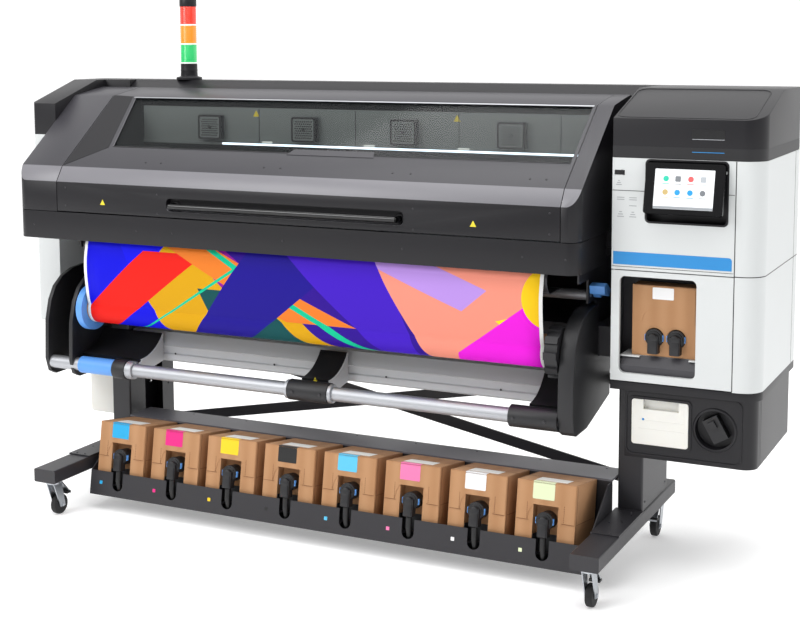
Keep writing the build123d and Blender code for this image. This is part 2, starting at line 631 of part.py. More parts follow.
# ---- window unit ---------------------------------------------------------------
def cheek(x0, x1, corner_x):
    """A fixed end casing of the window unit, open underneath."""
    line = lid_profile(TIER_Z)
    back = [(LID_BACK_Y, TOP_BEAM_Z0 - GAP), (REAR_Y0, TOP_BEAM_Z0 - GAP), (REAR_Y0, TIER_Z)]
    outer = round_corner(prism(line + back, x0, x1), corner_x, WINDOW_FRONT, CHEEK_FRONT_R)
    inner_line = along(line, SKIN)
    inner_line[0] = (inner_line[0][0], TIER_Z - 1)
    inner_back = [(LID_BACK_Y - SKIN, TIER_Z - 1)]
    inner_line[-1] = (LID_BACK_Y - SKIN, inner_line[-1][1] - 1)
    inner = prism(inner_line + inner_back, x0 + SKIN, x1 - SKIN)
    inner = round_corner(inner, corner_x + (SKIN if corner_x == x0 else -SKIN), WINDOW_FRONT + SKIN,
                         CHEEK_FRONT_R - SKIN)
    return outer - inner


def cheeks():
    left = cheek(WINDOW_X0, LID_X0 - GAP, WINDOW_X0)
    right = cheek(LID_X1 + GAP, WINDOW_X1, WINDOW_X1)
    return left, right


def front_beam():
    """The casing of the front beam under the lid: face, top flange and ends."""
    x0, x1 = WINDOW_X0, WINDOW_X1
    z1 = TIER_Z - GAP
    outer = block(x0, x1, WINDOW_FRONT, 60, BEAM_Z0, z1)
    for x in (x0, x1):
        outer = round_corner(outer, x, WINDOW_FRONT, CHEEK_FRONT_R)
    inner = block(x0 + SKIN, x1 - SKIN, WINDOW_FRONT + SKIN, 61, BEAM_Z0 - 1, z1 - SKIN)
    inner -= block(x0, x0 + 42, WINDOW_FRONT, WINDOW_FRONT + 42, BEAM_Z0 - 1, z1)
    inner -= block(x1 - 42, x1, WINDOW_FRONT, WINDOW_FRONT + 42, BEAM_Z0 - 1, z1)
    made = outer - inner - block(LID_X0 - GAP, LID_X1 + GAP, -150, 61, z1 - SKIN - 1, z1 + 1)
    for x in (x0, x1):
        inset = CHEEK_FRONT_R - SKIN
        cx = x + SKIN + inset if x == x0 else x - SKIN - inset
        hole = post(cx, WINDOW_FRONT + SKIN + inset, BEAM_Z0 - 1, z1 - SKIN, inset)
        made -= hole
    for x in (x0, x1 - 20):
        made += block(x, x + 20, -100, 60, z1 - SKIN, TIER_Z)
    return made


def lid_frame():
    """The lifting lid: fascia with a grip recess, bevel, slope and brow, cut out for the glass."""
    line = lid_profile(TIER_Z + GAP)
    made = prism(skin(line, SKIN), LID_X0, LID_X1)
    face = WINDOW_FRONT
    pocket = block(HANDLE_X0 - 14, HANDLE_X1 + 14, face + SKIN - 1, face + RECESS_D + 4, RECESS_Z0 - 8,
                   RECESS_Z1 + 8)
    made += pocket
    recess = block(HANDLE_X0 - 6, HANDLE_X1 + 6, face - 1, face + RECESS_D, RECESS_Z0, RECESS_Z1)
    made -= fillet(recess.edges().filter_by(Axis.Y), 14)
    made -= window_cut(0, GLASS_T + 30, 20)
    for x in HINGE_XS:
        knuckle = rod(x - KNUCKLE_W / 2, x + KNUCKLE_W / 2, HINGE_Y, HINGE_Z, HINGE_PIN_R + 4)
        made += knuckle
        made -= rod(x - KNUCKLE_W, x + KNUCKLE_W, HINGE_Y, HINGE_Z, HINGE_PIN_R + PIN_PLAY)
    return made


def slope_frame():
    """The plane of the glass: origin at the middle of its lower edge, y up the slope."""
    angle = math.degrees(math.atan2(CREST_Z - BEVEL_Z, CREST_Y - BEVEL_Y))
    return Pos(0, on_crest_line(GLASS_Z0), GLASS_Z0) * Rot(angle, 0, 0)


def window_cut(lap, depth, rise):
    """The clear window's shape, grown by lap, through a depth below the outer face."""
    length = (CREST_Z - GLASS_Z0) / math.sin(math.atan2(CREST_Z - BEVEL_Z, CREST_Y - BEVEL_Y)) - 4
    pts = [(GLASS_LEFT_LOW - lap, -lap), (GLASS_RIGHT + min(lap, 8), -lap),
           (GLASS_RIGHT + min(lap, 8), length + lap * 0.1), (GLASS_LEFT_HIGH - lap, length + lap * 0.1)]
    face = Plane.XY.offset(-depth) * make_face(Polyline(*pts, close=True))
    return slope_frame() * extrude(face, amount=depth + rise)


def glass():
    """The window pane, lapped under the lid's cut-out."""
    thick = window_cut(GLASS_LAP, SKIN + GLASS_T, 0)
    return thick - window_cut(GLASS_LAP + 1, SKIN, 1)


def lid_handle():
    """A tubular grip held in the fascia's recess by two stubs."""
    y = WINDOW_FRONT - HANDLE_OUT
    back = WINDOW_FRONT + RECESS_D
    x0, x1 = HANDLE_X0 + 14, HANDLE_X1 - 14
    made = rod(x0, x1, y, HANDLE_Z, HANDLE_R)
    for x in (x0, x1):
        made += Pos(x, y, HANDLE_Z) * Sphere(HANDLE_R)
        made += stub(x, HANDLE_Z, y, back, HANDLE_R)
    return made


def top_beam():
    """The fixed top cover behind the lid, with the lid's hinge ears and pins."""
    x0, x1 = LEFT_CAP_BACK_X + GAP, CABINET_X0 - GAP
    line = [(TOP_BEAM_Y, TOP_BEAM_Z0), (TOP_BEAM_Y, 1373), (TOP_BEAM_Y + 44, HEIGHT), (BACK, HEIGHT),
            (BACK, TOP_BEAM_Z0)]
    made = prism(line, x0, x1)
    made -= prism([(TOP_BEAM_Y + SKIN, TOP_BEAM_Z0 + SKIN), (TOP_BEAM_Y + SKIN, 1371),
                   (TOP_BEAM_Y + 45, HEIGHT - SKIN), (BACK - SKIN, HEIGHT - SKIN),
                   (BACK - SKIN, TOP_BEAM_Z0 + SKIN)], x0 + SKIN, x1 - SKIN)
    for x in HINGE_XS:
        ear_x = x + KNUCKLE_W / 2 + GAP
        made += block(ear_x, ear_x + 12, HINGE_Y - 6, HINGE_Y + 6, HINGE_Z - 26, HINGE_Z + 4)
        made += block(ear_x, ear_x + 12, HINGE_Y, TOP_BEAM_Y + 1, HINGE_Z - 26, HINGE_Z - 4)
        made += rod(x - KNUCKLE_W / 2 - 2, ear_x + 1, HINGE_Y, HINGE_Z, HINGE_PIN_R)
    return made


def dryer():
    """The airflow panel with four fan housings and the light bar under them."""
    x0, x1 = DRYER_X0, DRYER_X1
    made = block(x0, x1, DRYER_Y, DRYER_Y + SHEET_METAL, DRYER_Z0, DRYER_Z1)
    made += block(x0, x1, DRYER_Y - 8, DRYER_Y + SHEET_METAL, DRYER_Z0, DRYER_Z0 + 8)
    for x in FAN_XS:
        fan = block(x - FAN_W / 2, x + FAN_W / 2, DRYER_Y - FAN_D, DRYER_Y + SHEET_METAL, FAN_Z0,
                    FAN_Z0 + FAN_H)
        made += fillet(fan.edges().filter_by(Axis.Y), 8)
    for x in (x0 + 20, x1 - 26):
        made += block(x, x + 6, DRYER_Y + 2, REAR_Y0, DRYER_Z0 + 6, DRYER_Z0 + 80)
    return made


def carriage_rail():
    """The round guide rail on two end blocks."""
    x0, x1 = LID_X0 + 14, LID_X1 - 14
    made = rod(x0, x1, RAIL_Y, RAIL_Z, RAIL_R)
    for x in (x0 - 12, x1):
        made += block(x, x + 12, RAIL_Y - 22, REAR_Y0, RAIL_Z - 26, RAIL_Z + 26)
    return made


def print_carriage():
    """The print carriage with its slider round the rail."""
    x0 = LID_X0 + 14 + 6
    x1 = x0 + CARRIAGE_W
    made = prism([(CARRIAGE_Y0, CARRIAGE_Z0), (CARRIAGE_Y0, CARRIAGE_Z1 - 40),
                  (CARRIAGE_Y0 + 50, CARRIAGE_Z1),
                  (CARRIAGE_Y1, CARRIAGE_Z1), (CARRIAGE_Y1, CARRIAGE_Z0)], x0, x1)
    made = fillet(made.edges().filter_by(Axis.Z), 10)
    made += block(x0 + 30, x1 - 30, CARRIAGE_Y1 - 1, RAIL_Y + 28, RAIL_Z - 28, RAIL_Z + 28)
    made -= rod(x0, x1, RAIL_Y, RAIL_Z, RAIL_R + PIN_PLAY)
    return made


# ---- left module ---------------------------------------------------------------
def left_body():
    """The white casing of the left module."""
    x0, x1 = -HALF_W, WINDOW_X0
    outer = block(x0, x1, LEFT_FRONT, BACK, LEFT_Z0, LEFT_CAP_Z0)
    outer = round_corner(outer, x0, LEFT_FRONT, 16)
    inner = block(x0 + SKIN, x1 - SKIN, LEFT_FRONT + SKIN, BACK - SKIN, LEFT_Z0 + SKIN, LEFT_CAP_Z0 + 1)
    return outer - inner


def cap_line(front, z0, run, ramp_z):
    return [(front, z0), (front, ramp_z), (front + run, HEIGHT), (BACK, HEIGHT), (BACK, z0)]


def left_cap():
    """The black top of the left module, running behind the window unit's end."""
    line = cap_line(LEFT_FRONT, LEFT_CAP_Z0, LEFT_CAP_RUN, CAP_FRONT_Z)
    made = prism(line, -HALF_W, WINDOW_X0 - SEAT)
    made = round_corner(made, -HALF_W, LEFT_FRONT, 16)
    inner = cap_line(LEFT_FRONT + SKIN, LEFT_CAP_Z0 - 1, LEFT_CAP_RUN, CAP_FRONT_Z - 2)
    inner = [(min(y, BACK - SKIN), min(z, HEIGHT - SKIN)) for y, z in inner]
    made -= prism(inner, -HALF_W + SKIN, WINDOW_X0 - SKIN)
    back = block(WINDOW_X0 - SKIN, LEFT_CAP_BACK_X, TOP_BEAM_Y + 4, BACK, TOP_BEAM_Z0, HEIGHT)
    hole = block(WINDOW_X0 - SKIN - 1, LEFT_CAP_BACK_X - SKIN, TOP_BEAM_Y + 4 + SKIN, BACK - SKIN,
                 TOP_BEAM_Z0 + SKIN, HEIGHT - SKIN)
    return made + (back - hole)


# ---- right cabinet -------------------------------------------------------------
def cabinet_outline(z0, z1, inset):
    """The cabinet's plan, drawn up, with its rounded front corner."""
    solid = block(CABINET_X0 + inset, HALF_W - inset, CABINET_FRONT + inset, BACK - inset, z0, z1)
    return round_corner(solid, HALF_W - inset, CABINET_FRONT + inset, CORNER_R - inset)


def door_x1():
    return HALF_W - CORNER_PANEL_W


def cabinet_body():
    """The white shell: left side, back, rounded corner and right side, with an inner liner."""
    z0, z1 = CABINET_Z0, CABINET_Z1
    made = cabinet_outline(z0, z1, 0) - cabinet_outline(z0 - 1, z1 + 1, SHEET_METAL)
    made -= block(CABINET_X0 - 1, door_x1(), CABINET_FRONT - 1, CABINET_FRONT + 17, z0 - 1, z1 + 1)
    made -= block(CABINET_X0 - 1, CABINET_X0 + 10, CHASSIS_Y0 - GAP, REAR_Y0 + 10, CHASSIS_Z0 - GAP,
                  CHASSIS_Z1 + GAP)
    liner = hollow(CABINET_X0 + 2, door_x1() - 60, CABINET_FRONT + 17, CHASSIS_Y0 - GAP, 585, 885, 2)
    liner -= block(CABINET_X0 + 4, door_x1() - 62, CABINET_FRONT + 16, CABINET_FRONT + 30, 587, 883)
    liner -= block(CABINET_X0 - 1, FOOT_X[1] + COLUMN_W / 2 + GAP, COLUMN_Y0 - GAP, COLUMN_Y1, 580,
                   CHASSIS_Z0 + GAP)
    liner += block(SUPPLY_X0 - 30, door_x1() - 61, CABINET_FRONT + 24, CHASSIS_Y0 - GAP, 636, 640)
    liner -= block(SUPPLY_PORTS[0] - 40, SUPPLY_PORTS[1] + 40, CABINET_FRONT + 20, SUPPLY_FRONT - 2, 630,
                   645)
    return made + liner


def cabinet_front():
    """The white upper front with the screen's pocket, the switch opening and a lower ledge."""
    x0, x1 = CABINET_X0, door_x1() - GAP
    y0 = CABINET_FRONT
    made = block(x0, x1, y0, y0 + SHEET_METAL, CABINET_SPLIT_Z, CABINET_Z1)
    made += block(x0, x1, y0, y0 + 15, CABINET_SPLIT_Z, CABINET_SPLIT_Z + SHEET_METAL)
    made += hollow(POCKET_X0, POCKET_X1, y0, y0 + POCKET_D, SCREEN_Z0 - 28, SCREEN_Z1 + 6, 2)
    made -= block(POCKET_X0 + 2, POCKET_X1 - 2, y0 - 1, y0 + POCKET_D - 2, SCREEN_Z0 - 26, SCREEN_Z1 + 4)
    made += rod(POCKET_X0 + 1, POCKET_X1 - 1, SCREEN_PIVOT_Y, SCREEN_PIVOT_Z, HINGE_PIN_R)
    sx, sz = SWITCH_X, SWITCH_Z
    made += block(sx - 20, sx + 20, y0 + 2, y0 + 14, sz - 14, sz + 14)
    made -= block(sx - 15, sx + 15, y0 - 1, y0 + 15, sz - 7, sz + 7)
    made -= post(sx, y0 + 5, sz - 15, sz + 15, 2 + PIN_PLAY)
    made += post(DOOR_PIVOT_X, DOOR_PIVOT_Y, CABINET_SPLIT_Z - 13, CABINET_SPLIT_Z + 2, 3)
    return made


def power_switch():
    """A rocker on a short upright pin."""
    y = CABINET_FRONT + 5
    made = prism_z([(SWITCH_X - 13, y - 5), (SWITCH_X, y - 3), (SWITCH_X + 13, y - 8),
                    (SWITCH_X + 13, y + 1),
                    (SWITCH_X, y + 5), (SWITCH_X - 13, y + 3)], SWITCH_Z - 6.4, SWITCH_Z + 6.4)
    return made + post(SWITCH_X, y, SWITCH_Z - 12, SWITCH_Z + 12, 2)


def prism_z(points, z0, z1):
    """An (x, y) outline drawn up along Z."""
    return extrude(Plane.XY.offset(z0) * make_face(Polyline(*points, close=True)), amount=z1 - z0)


def touch_screen():
    """The tilting screen with two knuckles behind its upper edge."""
    width, height, thick = SCREEN_X1 - SCREEN_X0, SCREEN_Z1 - SCREEN_Z0, SCREEN_T
    place = Pos((SCREEN_X0 + SCREEN_X1) / 2, CABINET_FRONT - 14, SCREEN_Z1) * Rot(-SCREEN_LEAN, 0, 0)
    slab = Pos(0, thick / 2, -height / 2) * Box(width, thick, height)
    slab = fillet(slab.edges().filter_by(Axis.Y), 8)
    made = place * slab
    for x in (SCREEN_X0 + 40, SCREEN_X1 - 40):
        made += rod(x - 12, x + 12, SCREEN_PIVOT_Y, SCREEN_PIVOT_Z, HINGE_PIN_R + 4)
        made += block(x - 12, x + 12, CABINET_FRONT - 9, SCREEN_PIVOT_Y, SCREEN_PIVOT_Z - 6,
                      SCREEN_PIVOT_Z + 6)
    return made - rod(POCKET_X0, POCKET_X1, SCREEN_PIVOT_Y, SCREEN_PIVOT_Z, HINGE_PIN_R + PIN_PLAY)


def cabinet_door():
    """The lower door with its wide window."""
    z0, z1 = CABINET_Z0 + 3, CABINET_SPLIT_Z - 3
    made = block(CABINET_X0 + 0.5, door_x1() - GAP, CABINET_FRONT, CABINET_FRONT + DOOR_T, z0, z1)
    wx0, wx1, wz0, wz1 = DOOR_WINDOW
    opening = block(wx0, wx1, CABINET_FRONT - 1, CABINET_FRONT + DOOR_T + 1, wz0, wz1)
    made -= fillet(opening.edges().filter_by(Axis.Y), 16)
    for za, zb in ((z0 - 1, z0 + 13), (z1 - 13, z1 + 1)):
        made -= post(DOOR_PIVOT_X, DOOR_PIVOT_Y, za, zb, 3 + PIN_PLAY)
    return made


def supply_carton():
    """The carton behind the cabinet door, with two connector ports."""
    made = block(SUPPLY_X0, SUPPLY_X1, SUPPLY_FRONT, CHASSIS_Y0 - 6, SUPPLY_Z0, SUPPLY_Z1)
    for x in SUPPLY_PORTS:
        made -= stub(x, SUPPLY_PORT_Z, SUPPLY_FRONT - 1, SUPPLY_FRONT + NICHE_D, 28)
        made -= stub(x, SUPPLY_PORT_Z, SUPPLY_FRONT, SUPPLY_FRONT + NICHE_D + 14, 16 + SEAT)
        made -= block(x - 16, x + 16, SUPPLY_FRONT - 1, SUPPLY_FRONT + 6, SUPPLY_PORT_Z - 45, SUPPLY_PORT_Z)
    return made


def cabinet_cap():
    """The black cover of the cabinet: sloping front, rounded corner, open underneath."""
    z0 = CABINET_Z1
    line = cap_line(CABINET_FRONT, z0, CAP_SLOPE_RUN, CAP_FRONT_Z)
    outer = round_corner(prism(line, CABINET_X0, HALF_W), HALF_W, CABINET_FRONT, CORNER_R)
    inner = [(CABINET_FRONT + SKIN, z0 - 1), (CABINET_FRONT + SKIN, CAP_FRONT_Z - 3),
             (CABINET_FRONT + CAP_SLOPE_RUN, HEIGHT - SKIN), (BACK - SKIN, HEIGHT - SKIN),
             (BACK - SKIN, z0 - 1)]
    hole = round_corner(prism(inner, CABINET_X0 + SKIN, HALF_W - SKIN), HALF_W - SKIN, CABINET_FRONT + SKIN,
                        CORNER_R - SKIN)
    return outer - hole


def lower_housing():
    """The dark band and the service housing under the cabinet."""
    z1 = CABINET_Z0
    made = cabinet_outline(BAND_Z0, z1, 0) - cabinet_outline(BAND_Z0 - 1, z1 - SKIN, SKIN)
    col_x1 = FOOT_X[1] + COLUMN_W / 2 + GAP
    front = block(HOUSING_X0, HOUSING_X1, HOUSING_Y0, COLUMN_Y0 - 5, HOUSING_Z0, z1 - SKIN + 1)
    rear = block(col_x1 + 3, HOUSING_X1, HOUSING_Y0, HOUSING_Y1, HOUSING_Z0, z1 - SKIN + 1)
    shell = round_corner(front + rear, HOUSING_X1, HOUSING_Y0, CORNER_R - 20)
    void = block(col_x1 + 7, HOUSING_X1 - SKIN, HOUSING_Y0 + 40, HOUSING_Y1 - SKIN, HOUSING_Z0 + SKIN,
                 BAND_Z0 - 1)
    shell -= void
    shell -= block(WASTE_X0 - SEAT, WASTE_X1 + SEAT, HOUSING_Y0 - 1, HOUSING_Y0 + 26, WASTE_Z0 - SEAT,
                   WASTE_Z1 + SEAT)
    shell -= block(col_x1 + 7, WASTE_X1 + SEAT, HOUSING_Y0, HOUSING_Y0 + 41, WASTE_Z0 - SEAT,
                   WASTE_Z1 + SEAT)
    shell -= stub(PORT_X, PORT_Z, HOUSING_Y0 - 1, HOUSING_Y0 + 28, PORT_R)
    shell -= turned_port() * Pos(0, 20, 0) * Box(CASSETTE_W + 2, 42, CASSETTE_H + 2)
    made += shell
    made -= block(FOOT_X[1] - COLUMN_W / 2 - GAP, col_x1, COLUMN_Y0 - GAP, COLUMN_Y1 + GAP, BAND_Z0 - 2,
                  z1 + 1)
    made += post(DOOR_PIVOT_X, DOOR_PIVOT_Y, z1 - 1, z1 + 13, 3)
    return made


def waste_container():
    """The translucent container: a wide front and a narrower body."""
    col_x1 = FOOT_X[1] + COLUMN_W / 2 + GAP
    made = block(WASTE_X0, WASTE_X1, HOUSING_Y0 - 2, HOUSING_Y0 + 25, WASTE_Z0, WASTE_Z1)
    made = fillet(made.edges().filter_by(Axis.Y), 8)
    made += block(col_x1 + 7 + SEAT, WASTE_X1 - 1, HOUSING_Y0 + 24, HOUSING_Y0 + 190, WASTE_Z0 + 1,
                  WASTE_Z1 - 12)
    made -= block(WASTE_X0 + 34, WASTE_X1 - 28, HOUSING_Y0 - 3, HOUSING_Y0 + 15, WASTE_Z1 - 28, WASTE_Z1 + 1)
    return made


def turned_port():
    """The frame of the round recess, turned with the cassette."""
    return Pos(PORT_X, HOUSING_Y0, PORT_Z) * Rot(0, CASSETTE_TURN, 0)


def service_cassette():
    """The cassette in the round recess, pulled straight out."""
    made = turned_port() * Pos(0, 62, 0) * Box(CASSETTE_W, 116, CASSETTE_H)
    made += turned_port() * Pos(0, 1, 15) * Box(20, 10, 22)
    return made


# ---- small assemblies ----------------------------------------------------------
def signal_tower():
    """A stack light on the top cover."""
    x, y = TOWER_X, TOWER_Y
    made = post(x, y, HEIGHT, HEIGHT + 10, TOWER_R + 15)
    return made + post(x, y, HEIGHT + 10, HEIGHT + TOWER_H, TOWER_R)


def waste_bottle():
    """The white bottle that hangs beside the left column."""
    x1 = FOOT_X[0] - COLUMN_W / 2
    outline = [(x1 - 118, 246), (x1 - 110, 238), (x1, 238), (x1, 386), (x1 - 14, 400), (x1 - 104, 400),
               (x1 - 118, 386)]
    return prism_y(outline, 20, 160)


def load_lever():
    """The loading lever on a pin beside the platen."""
    x0 = PLATEN_LEG_XS[-1] + 6 + GAP
    made = rod(x0, x0 + 22, LEVER_Y, LEVER_Z, 14)
    made += prism([(LEVER_Y - 12, LEVER_Z - 6), (LEVER_Y - 54, LEVER_Z + 6), (LEVER_Y - 60, LEVER_Z + 30),
                   (LEVER_Y - 34, LEVER_Z + 36), (LEVER_Y, LEVER_Z + 13)], x0 + 4, x0 + 50)
    return made - rod(x0 - 1, x0 + 51, LEVER_Y, LEVER_Z, 6 + PIN_PLAY)


def bar_sleeve():
    return sleeve(SLEEVE_X0, SLEEVE_X1, BAR_Y, BAR_Z, SLEEVE_R, BAR_R + PIN_PLAY)


def supply_spindle():
    """The rear spindle with a flange each side of the roll."""
    x0, x1 = MEDIA_X0 - 60, MEDIA_X1 + 40
    made = rod(x0, x1, SUPPLY_Y, SUPPLY_Z, SPINDLE_R)
    for x in (MEDIA_X0 - 14, MEDIA_X1 + 2):
        made += rod(x, x + 12, SUPPLY_Y, SUPPLY_Z, SUPPLY_ROLL_R + 2)
    return made


def supply_roll():
    return sleeve(MEDIA_X0, MEDIA_X1, SUPPLY_Y, SUPPLY_Z, SUPPLY_ROLL_R, SPINDLE_R + PIN_PLAY)


def chassis_complete():
    """The chassis with its roller bearings, spindle hangers and lever pin."""
    made = chassis()
    for bearing in roller_bearings():
        made += bearing
    for x in (MEDIA_X0 - 50, MEDIA_X1 + 30):
        made += spindle_bracket(x, SUPPLY_Y, SUPPLY_Z, CHASSIS_Z0 + 1, SPINDLE_R)
    x0 = PLATEN_LEG_XS[-1] + 5
    made += block(x0 - 5, x0 + 1, LEVER_Y - 20, CHASSIS_Y0 + 20, LEVER_Z - 18, LEVER_Z + 18)
    made += rod(x0, x0 + 26, LEVER_Y, LEVER_Z, 6)
    return made


NODES = {
    "foot_left": lambda: foot(FOOT_X[0]),
    "foot_right": lambda: foot(FOOT_X[1]),
    "foot_covers": foot_covers,
    "column_left": lambda: column(FOOT_X[0], -1),
    "column_right": lambda: column(FOOT_X[1], 1),
    "brace_front": brace_front,
    "brace_rear": brace_rear,
    "ink_tray": ink_tray,
    "tray_shelf": tray_shelf,
    "ink_cartons": cartons,
    "ink_connectors": connectors,
    "ink_hoses": ink_hoses,
    "chassis": chassis_complete,
    "platen": platen,
    "print_sheet": sheet,
    "feed_roller": feed_roller,
    "takeup_plate_left": takeup_plate_left,
    "takeup_plate_right": takeup_plate_right,
    "takeup_beam": takeup_beam,
    "takeup_brackets": scoops,
    "front_bar": front_bar,
    "bar_sleeve": bar_sleeve,
    "takeup_core": takeup_core,
    "takeup_hub_left": lambda: hub(MEDIA_X0 - 30, MEDIA_X0 - 6, HUB_R),
    "takeup_hub_right": hub_right,
    "cheek_left": lambda: cheeks()[0],
    "cheek_right": lambda: cheeks()[1],
    "front_beam": front_beam,
    "window_lid": lid_frame,
    "window_glass": glass,
    "lid_handle": lid_handle,
    "top_beam": top_beam,
    "dryer_panel": dryer,
    "carriage_rail": carriage_rail,
    "print_carriage": print_carriage,
    "left_body": left_body,
    "left_cap": left_cap,
    "cabinet_body": cabinet_body,
    "cabinet_front": cabinet_front,
    "power_switch": power_switch,
    "touch_screen": touch_screen,
    "cabinet_door": cabinet_door,
    "supply_carton": supply_carton,
    "cabinet_cap": cabinet_cap,
    "lower_housing": lower_housing,
    "waste_container": waste_container,
    "service_cassette": service_cassette,
    "signal_tower": signal_tower,
    "waste_bottle": waste_bottle,
    "load_lever": load_lever,
    "supply_spindle": supply_spindle,
    "supply_roll": supply_roll,
}


def caster_set():
    """Forks and wheels under the ends of both feet, trailing towards the middle."""
    made = {}
    for side, x in zip(("left", "right"), FOOT_X):
        for end, y, way in zip(("front", "back"), caster_ys(), (1, -1)):
            wheel_y = y + way * CASTER_TRAIL
            made[f"caster_fork_{side}_{end}"] = caster_fork(x, y, wheel_y)
            made[f"caster_wheel_{side}_{end}"] = caster_wheel(x, wheel_y)
    return made


def main():
    shapes = {name: make() for name, make in NODES.items()}
    shapes.update(caster_set())
    for name, shape in shapes.items():
        export_step(shape, f"parts/{name}.step")


if __name__ == "__main__":
    main()
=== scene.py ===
import json
import math

import bmesh
import bpy
from mathutils import Matrix, Vector


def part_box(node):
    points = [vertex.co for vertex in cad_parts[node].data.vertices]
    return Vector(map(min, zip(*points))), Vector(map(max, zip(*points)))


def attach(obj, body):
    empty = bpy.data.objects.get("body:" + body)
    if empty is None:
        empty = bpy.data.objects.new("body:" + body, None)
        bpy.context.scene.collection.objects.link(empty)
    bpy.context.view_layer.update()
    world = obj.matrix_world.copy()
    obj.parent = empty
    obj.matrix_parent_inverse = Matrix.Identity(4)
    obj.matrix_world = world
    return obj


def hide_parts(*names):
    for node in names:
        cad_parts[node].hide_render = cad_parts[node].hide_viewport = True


bl_info = {
    "name": "Wide roll printer",
    "version": (1, 0, 0),
    "blender": (4, 5, 0),
    "location": "View3D > Sidebar > Printer",
    "description": "Finishes and fittings of a free-standing wide roll-fed printer",
    "category": "Object",
}

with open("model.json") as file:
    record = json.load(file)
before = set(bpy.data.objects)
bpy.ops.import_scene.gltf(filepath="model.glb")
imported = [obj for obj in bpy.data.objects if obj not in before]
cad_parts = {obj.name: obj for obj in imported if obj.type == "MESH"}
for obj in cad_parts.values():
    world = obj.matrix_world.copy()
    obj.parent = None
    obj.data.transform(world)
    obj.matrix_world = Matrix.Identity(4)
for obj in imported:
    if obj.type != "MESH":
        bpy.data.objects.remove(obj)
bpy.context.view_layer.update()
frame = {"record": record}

# Camera: a long lens, a little above the top of the covers, looking slightly down.
CAMERA_AT = (2.1162, -4.0308, 1.5646)
CAMERA_YAW, CAMERA_PITCH, CAMERA_ROLL = 25.93, 6.54, -0.22
CAMERA_LENS, CAMERA_SHIFT_Y = 65.29, -0.1457

# The two ends of the lid's slope in millimetres, as (y, z), and other placing sizes.
BEVEL, CREST = (-168, 1128), (121, 1351)
SLOPE = math.degrees(math.atan2(CREST[1] - BEVEL[1], CREST[0] - BEVEL[0]))
CARTON_TOP, CARTON_LEAN = (-222, 287.5), 9.3
CARTON_SIZE = (180, 180, 205)
TRAY_FOOT = (-272, 50)
CARTON_XS = [-12 + 212 * (i - 3.5) for i in range(8)]
SUPPLY_PORTS, SUPPLY_PORT_Z, SUPPLY_FACE_Y = (982, 1046), 695, -31
TAKEUP = (-121, 648)
SERVICE_PORT = (1166, 448)
FRONT_BAR = (-163, 455)
SCOOP = (-135, 640, 152)   # centre (y, z) and radius of the brackets' curved faces
CABINET_CORNER = 60.0
WINDOW_SIDE = -1189.0      # left end of the window unit and of the rear panel
REAR_SEAMS, REAR_VENTS = (-676, -163, 350), (-420, 94)
SCREEN_TOP, SCREEN_LEAN = (1077.5, -83, 1204), 13.0
POCKET = (1077.5, 1121.0, 233.0, 178.0)   # x, z, width, height

FRONT_Y, GRIP_Z = -200, 1018               # face of the window unit, height of the grip
CAP_EDGE_Z, COVER_TOP_Z, CAP_RUN = 1326, 1402, 249
GLASS_FOOT_Z = 1194
FAN_XS, FAN_Z = (-605, -241, 121, 487), 1253

# Directions, and turns that face an outline to the front, the back or the right.
FRONT, BACKWARDS, UP, RIGHT, LEFT = (0, -1, 0), (0, 1, 0), (0, 0, 1), (1, 0, 0), (-1, 0, 0)
FACING_FRONT = ((1, 0, 0, 0), (0, 0, -1, 0), (0, 1, 0, 0), (0, 0, 0, 1))
FACING_BACK = ((-1, 0, 0, 0), (0, 0, 1, 0), (0, 1, 0, 0), (0, 0, 0, 1))
FACING_SIDE = ((0, 0, 1, 0), (1, 0, 0, 0), (0, 1, 0, 0), (0, 0, 0, 1))


# ---- mesh helpers ---------------------------------------------------------------
def corners(node):
    """A CAD node's lowest and highest corners, in millimetres."""
    low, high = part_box(node)
    return [v * 1000 for v in low], [v * 1000 for v in high]


def keep(name, mesh, material, body="frame"):
    """Puts a finished mesh in the scene on a body."""
    piece = bpy.data.objects.new(name, mesh)
    bpy.context.scene.collection.objects.link(piece)
    mesh.materials.clear()
    for one in material if isinstance(material, (list, tuple)) else [material]:
        mesh.materials.append(one)
    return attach(piece, body) or piece


def from_bmesh(name, shape, material, body="frame", smooth=30):
    """Turns a bmesh in millimetres into a piece, smooth except across sharp edges."""
    bmesh.ops.scale(shape, vec=(0.001,) * 3, verts=shape.verts)
    bmesh.ops.recalc_face_normals(shape, faces=shape.faces)
    mesh = bpy.data.meshes.new(name)
    for face in shape.faces:
        face.smooth = True
    for edge in shape.edges:
        edge.smooth = len(edge.link_faces) == 2 and edge.calc_face_angle(3.2) < math.radians(smooth)
    shape.to_mesh(mesh)
    shape.free()
    return keep(name, mesh, material, body)


def add_box(shape, low, high, bevel=0.0, segments=2, matrix=None):
    """A box between two corners with rounded edges, added to a bmesh."""
    made = bmesh.ops.create_cube(shape, size=1.0)["verts"]
    size = [high[i] - low[i] for i in range(3)]
    middle = [(high[i] + low[i]) / 2 for i in range(3)]
    bmesh.ops.scale(shape, vec=size, verts=made)
    if bevel:
        edges = list({edge for vert in made for edge in vert.link_edges})
        out = bmesh.ops.bevel(shape, geom=edges, offset=min(bevel, min(size) * 0.49), segments=segments,
                              profile=0.5, affect="EDGES")
        made = list({vert for vert in out["verts"]} | {vert for vert in made if vert.is_valid})
    bmesh.ops.translate(shape, vec=middle, verts=made)
    if matrix:
        bmesh.ops.transform(shape, matrix=matrix, verts=made)
    return made


